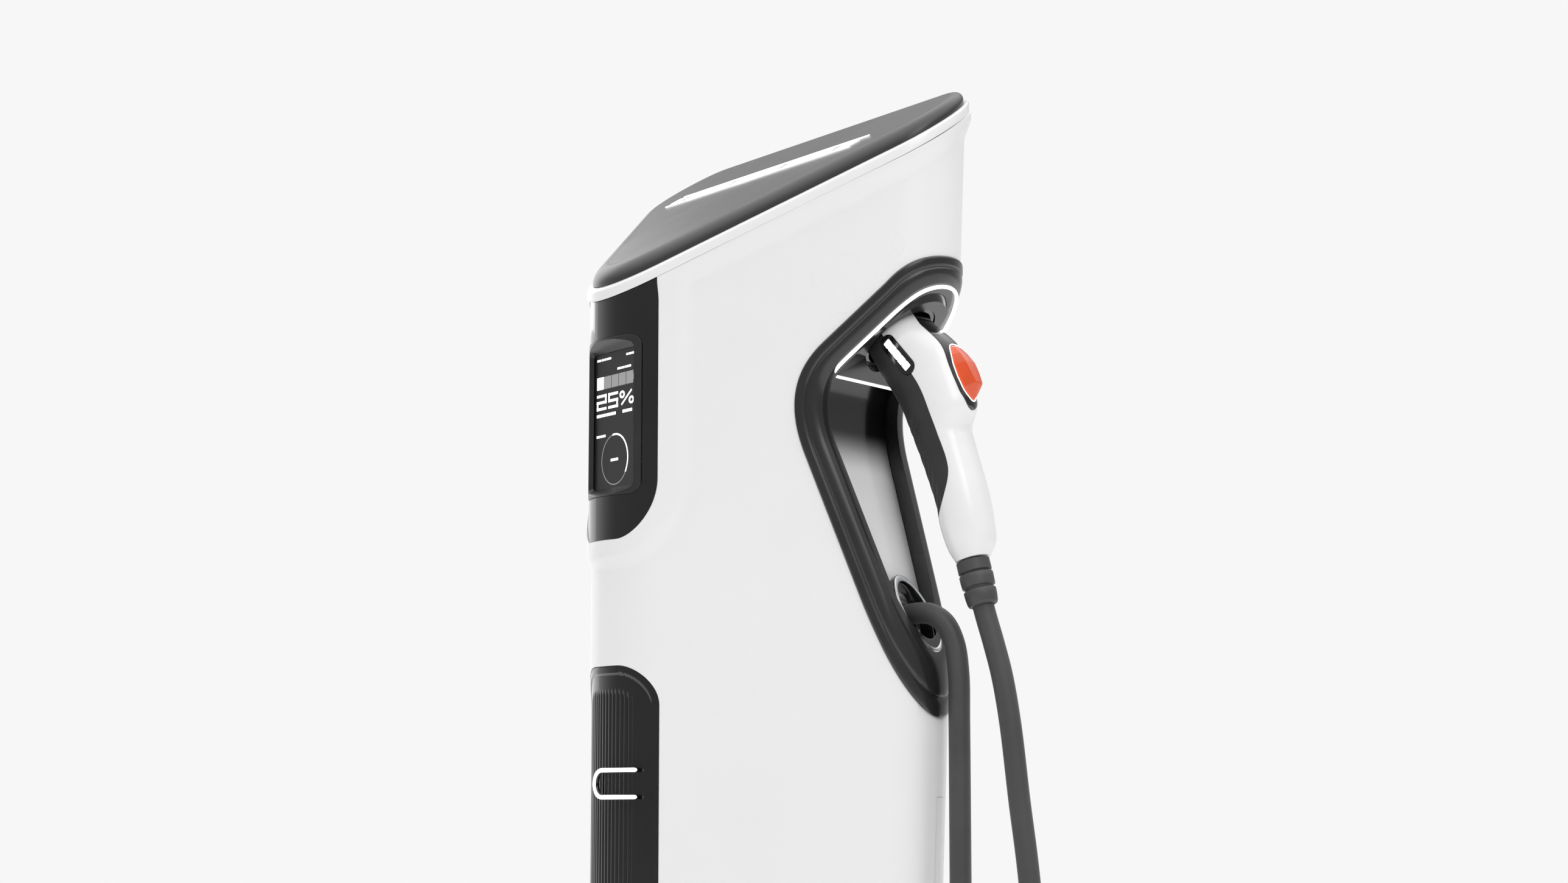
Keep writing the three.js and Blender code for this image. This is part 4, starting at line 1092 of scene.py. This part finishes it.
def connector_rings(grow=0.0, sides=96, swell=None):
    a = np.linspace(0, 2 * math.pi, sides + 1)[:-1]
    c = np.sign(np.cos(a)) * np.abs(np.cos(a)) ** 0.85
    s = np.sign(np.sin(a)) * np.abs(np.sin(a)) ** 0.85
    rings = []
    for u, z, deep, thick, lean in spine():
        more = grow + (swell(z, a, thick) if swell else 0)
        x = (deep + more) * c
        ring = np.column_stack([u + x * math.cos(lean), (thick + more) * s, z + x * math.sin(lean)])
        rings.append(corner(ring))
    return rings


GRIP_EDGE = [(-150, 1262), (-80, 1237), (-68, 1224), (-57, 1211), (-46, 1198), (-38, 1187.5),
             (-32.6, 1179.8), (-27.5, 1172), (-23.5, 1164.5), (-19, 1154), (-15, 1142.8), (-9.5, 1128.5),
             (-4.7, 1115.4), (0.5, 1102.5), (4.6, 1091), (7, 1080), (6.6, 1070), (4.2, 1060), (-0.5, 1047),
             (-6, 1036), (-12, 1027), (-24, 1017), (-60, 1002), (-150, 990)]


def grip_region(name, grow):
    edge = np.concatenate([GRIP_EDGE[:1], through(GRIP_EDGE[1:-1], 3.0), GRIP_EDGE[-1:]])
    return prism_t(name, edge + [grow, 0], -80, 80)


KEY_U, KEY_Z, KEY_TILT = 9.5, 1184, math.radians(-19.5)
PILL_U, PILL_Z, PILL_TILT = -51.3, 1203.8, math.radians(-41.5)
# half widths of the black strip and of the key at heights along the key's frame
STRIP_EDGE = [(-42, 0.5), (-41.3, 4), (-40, 7), (-37, 10.6), (-30, 13.6), (-23, 15.7), (-4, 17.7), (14, 18.4),
              (39, 18.2), (64, 17.2), (85, 12.4), (92, 9)]
KEY_EDGE = [(-33.4, 0.5), (-32.6, 3), (-31, 5), (-27, 8), (-20, 10.8), (-7, 13), (8.5, 13.4), (21, 12.4),
            (27, 11.2), (29, 9.6), (29.8, 6)]

on_key = tilted(KEY_U, KEY_Z, KEY_TILT)
on_pill = tilted(PILL_U, PILL_Z, PILL_TILT)


def edge_line(edge, grow=0.0, count=160):
    """One of the outlines above, closed and smoothed, as (t, z) points."""
    right = [(half, z) for z, half in edge]
    loop = resample(np.array(right + [(-t, z) for t, z in right[::-1]], float), count, closed=True)
    loop = relax(loop, 3)
    along = np.roll(loop, -1, 0) - np.roll(loop, 1, 0)
    along /= np.linalg.norm(along, axis=1)[:, None]
    return loop + grow * np.column_stack([along[:, 1], -along[:, 0]])


def edge_block(name, edge, grow, x0, x1):
    o = edge_line(edge, grow)
    return loft(name, [on_key(np.column_stack([np.full(len(o), float(x)), o])) for x in (x0, x1)])


def pill_block(name, grow, t0, t1):
    outline = rounded_box(8.6 + grow, -26.6 - grow, 26.6 + grow, 8.55 + grow, 12)
    return prism_t(name, outline, t0, t1, on_pill)


RIB_LOW, RIB_HIGH = 1036, 1150


def grip_swell(z, a, thick):
    """Slanted ribs on the grip's inner side, where the fingers go."""
    arc_from_inside = np.abs(np.angle(np.exp(1j * (a - math.pi)))) * thick
    inner = smooth_step((38 - arc_from_inside) / 16)
    along = smooth_step((z - RIB_LOW) / 14) * smooth_step((RIB_HIGH - z) / 14)
    wave = 0.5 + 0.5 * np.sin(2 * math.pi * (z - 1.3 * arc_from_inside) / 15.5)
    return 0.4 - 2.8 * inner * along * wave ** 1.8


STRIP_DEPTH, STRIP_GAP = 4.0, 0.3
HOLE_FLOOR, HOLE_GAP = -4.4, 0.45          # the key's hole, which leaves room for the key's 3 mm of travel


def add_connector():
    body_name = "connector_body"
    recess = edge_block("recess", STRIP_EDGE, STRIP_GAP, -32, 60)
    cut(recess, loft("core", connector_rings(-STRIP_DEPTH)))

    def hole():
        return edge_block("hole", KEY_EDGE, HOLE_GAP, HOLE_FLOOR, 60)

    def copy_of(piece):
        made = piece.copy()
        made.data = piece.data.copy()
        bpy.context.scene.collection.objects.link(made)
        return made

    grip = loft("grip_piece", connector_rings(-0.6, swell=grip_swell))
    common(grip, grip_region("grip_edge", -0.15))
    cut(grip, copy_of(recess), pill_block("grip_pill", 0.4, -60, -24))
    finish(grip, "grip", body_name, "dark_satin", ["connector_grip"], angle=40)

    shell = loft("connector_shell_piece", connector_rings())
    cut(shell, grip_region("shell_edge", 0.15), recess, hole(), pill_block("shell_pill", 0.4, -60, -24))
    finish(shell, "shell", body_name, "white_shell", ["connector_shell"], angle=40)

    strip = loft("strip_piece", connector_rings(0.25))
    cut(strip, loft("strip_core", connector_rings(STRIP_GAP - STRIP_DEPTH)))
    common(strip, edge_block("strip_edge", STRIP_EDGE, 0, -32, 60))
    cut(strip, hole())
    finish(strip, "gloss", body_name, "black_gloss", ["button_surround"], angle=40)
    add_trigger()
    add_key_outline()

    pill = loft("indicator_piece", connector_rings(0.9))
    common(pill, pill_block("pill_edge", 0, -60, -24.4))
    finish(pill, "gloss", body_name, "black_gloss", ["charge_indicator"], angle=40)
    for i in range(5):
        z0 = -20.6 + i * 8.3
        cell = loft(f"indicator_cell_{i + 1}", connector_rings(1.25))
        common(cell, prism_t("cell_edge", rounded_box(4.0, z0, z0 + 7.5, 0.9, 5), -60, -26, on_pill))
        finish(cell, "light", body_name, "light", angle=40)

    dress("connector_nose", "satin")
    dress("contact_carrier", "relief")
    add_strain_relief()


def add_trigger():
    """The faceted red key: sloping flanks up to a narrow top, falling away at both ends."""
    profile = [(-33.2, 1.6, 2.0, 0.9), (-31.6, 4.4, 4.4, 1.6), (-27, 9.2, 8.0, 3.0), (-20.2, 14.8, 10.7, 5.2),
               (-18, 15.0, 11.2, 6.2), (-6, 14.2, 13.0, 8.0), (6, 12.6, 13.4, 8.6), (18, 8.2, 12.8, 7.4),
               (27, 3.6, 11.0, 6.0), (29.4, 1.4, 8.4, 4.6)]
    rings = []
    for z, height, half, ridge in profile:
        half = half - 0.1
        low = min(0.9, height * 0.5)
        left = [(-0.6, -half, z), (low, -half, z), (height, -ridge, z)]
        rings.append(on_key(left + [(height + 0.7, 0, z)] + [(x, -t, z) for x, t, z in left[::-1]]))
    key = loft("trigger_piece", rings)
    soften(key, 0.6, 2, 10)
    finish(key, "red", "trigger_body", "trigger_red", ["trigger_button"], angle=12)


def add_key_outline():
    """The thin white line round the key, lying on the strip's surface."""
    u, z, deep, thick, lean = spine(400).T
    placed = []
    for t, high in edge_line(KEY_EDGE, 0.9, 140):
        reach = deep * (1 - np.minimum(1, abs(t) / thick) ** (2 / 0.85)) ** 0.425
        skin_u = u + reach * np.cos(lean) - KEY_U
        skin_z = z + reach * np.sin(lean) - KEY_Z
        along = skin_u * math.sin(KEY_TILT) + skin_z * math.cos(KEY_TILT)
        out = skin_u * math.cos(KEY_TILT) - skin_z * math.sin(KEY_TILT)
        order = np.argsort(along)
        placed.append((np.interp(high, along[order], out[order]) + 0.15, t, high))
    rings = tube_rings(on_key(np.array(placed + placed[:1])), 0.55, 8)[:-1]
    finish(loft("key_light_line", rings, wrap=True), "light", "connector_body", "light", angle=80)


def add_strain_relief():
    place = tilted(19.6, 986, math.radians(-15))
    profile = [(11.7, 0), (17.4, 0), (17.5, -11.4), (16.9, -12), (15.2, -12.4), (15.0, -13.6), (17.2, -14.2),
               (17.8, -15), (17.7, -21), (17.3, -27.4), (16.6, -28), (14.9, -28.3), (14.7, -30.6),
               (16.4, -31.2), (17.0, -32), (16.8, -38), (16.0, -44.6), (15.0, -47), (13.2, -48), (11.7, -48)]
    relief = turned("strain_relief_piece", profile, place)
    finish(relief, "relief", "connector_body", "rubber", ["strain_relief"], angle=40)


# ---------------------------------------------------------------- foot and what the post holds inside

def add_rest():
    looks = {"steel": ["base_plate", "power_module"] + [f"anchor_bolt_{i + 1}" for i in range(4)],
             "satin": ["plinth_ring", "fan_housing"],
             "zinc": ["display_module", "chassis_plate"],
             "board": ["card_reader", "controller_board"],
             "device": ["contactor", "energy_meter", "terminal_block", "fan_rotor"]}
    for look, nodes in looks.items():
        for node in nodes:
            dress(node, look)


# ---------------------------------------------------------------- studio

SKY = {"front": 0.33, "zenith": 2.1, "left": 0.5, "seen": 0.93}      # brightness of the sky's parts


def add_sky():
    """A pale sky, brighter overhead and low behind to the left, and even where the camera sees it."""
    world = bpy.data.worlds.new("studio")
    world.use_nodes = True
    bpy.context.scene.world = world
    tree = world.node_tree

    def ranged(value, low, high, start, end):
        limits = {"From Min": low, "From Max": high, "To Min": start, "To Max": end}
        node = add_node(tree, "MapRange", {"Value": value, **limits}, interpolation_type="SMOOTHSTEP")
        return node.outputs["Result"]

    def maths(how, a, b):
        return add_node(tree, "Math", {0: a, 1: b}, operation=how).outputs[0]

    way = add_node(tree, "TexCoord").outputs["Generated"]
    x, y, z = add_node(tree, "SeparateXYZ", {"Vector": way}).outputs
    overhead = ranged(z, 0.35, 0.95, SKY["front"], SKY["zenith"])
    leftward = maths("ADD", maths("MULTIPLY", x, -0.9), maths("MULTIPLY", y, 0.43))
    behind = maths("MULTIPLY", ranged(leftward, 0.1, 0.9, 0, SKY["left"]), ranged(z, 0.12, 0.4, 1, 0))
    ray = add_node(tree, "LightPath").outputs["Is Camera Ray"]
    blend = add_node(tree, "Mix", {"Factor": ray, "A": maths("ADD", overhead, behind), "B": SKY["seen"]})
    fill(tree, tree.nodes["Background"], {"Color": (1, 1, 1, 1), "Strength": blend.outputs["Result"]})


def add_studio():
    scene = bpy.context.scene
    scene.view_settings.view_transform = "Standard"
    add_sky()

    def lamp(name, place, aim, size, power, size_y=None):
        data = bpy.data.lights.new(name, "AREA")
        data.shape = "RECTANGLE"
        data.size = size
        data.size_y = size_y or size
        data.energy = power
        lamp_object = bpy.data.objects.new(name, data)
        lamp_object.location = place
        lamp_object.rotation_euler = (Vector(aim) - Vector(place)).to_track_quat("-Z", "Y").to_euler()
        scene.collection.objects.link(lamp_object)

    lamp("key", (2.9, -0.9, 3.0), (0, 0, 1.0), 1.6, 20)
    lamp("left", (-3.4, 0.2, 1.6), (0, 0, 1.0), 2.6, 9, 3.0)
    lamp("card", (-1.5, 0.05, 1.9), (0, -0.1, 1.35), 0.8, 2.6)
    corners = [(x, y, 0) for x, y in ((-9000, -9000), (9000, -9000), (9000, 9000), (-9000, 9000))]
    floor = new_piece("floor", corners, [(0, 1, 2, 3)])
    floor.data.materials.append(material("floor_paint", (0.85, 0.85, 0.85), 0.6, tone=0.01, tone_scale=1))


for add in (add_housing, add_cap_lights, add_front_panel, add_display, add_front_door, add_door_light,
            add_rear_door, add_holster, add_outlet, add_connector, add_rest, add_studio):
    add()

connector_pieces = ["grip_piece", "connector_shell_piece", "strip_piece", "trigger_piece", "key_light_line",
                    "indicator_piece", "strain_relief_piece", "connector_nose", "contact_carrier"]
connector_pieces += [f"indicator_cell_{i + 1}" for i in range(5)]
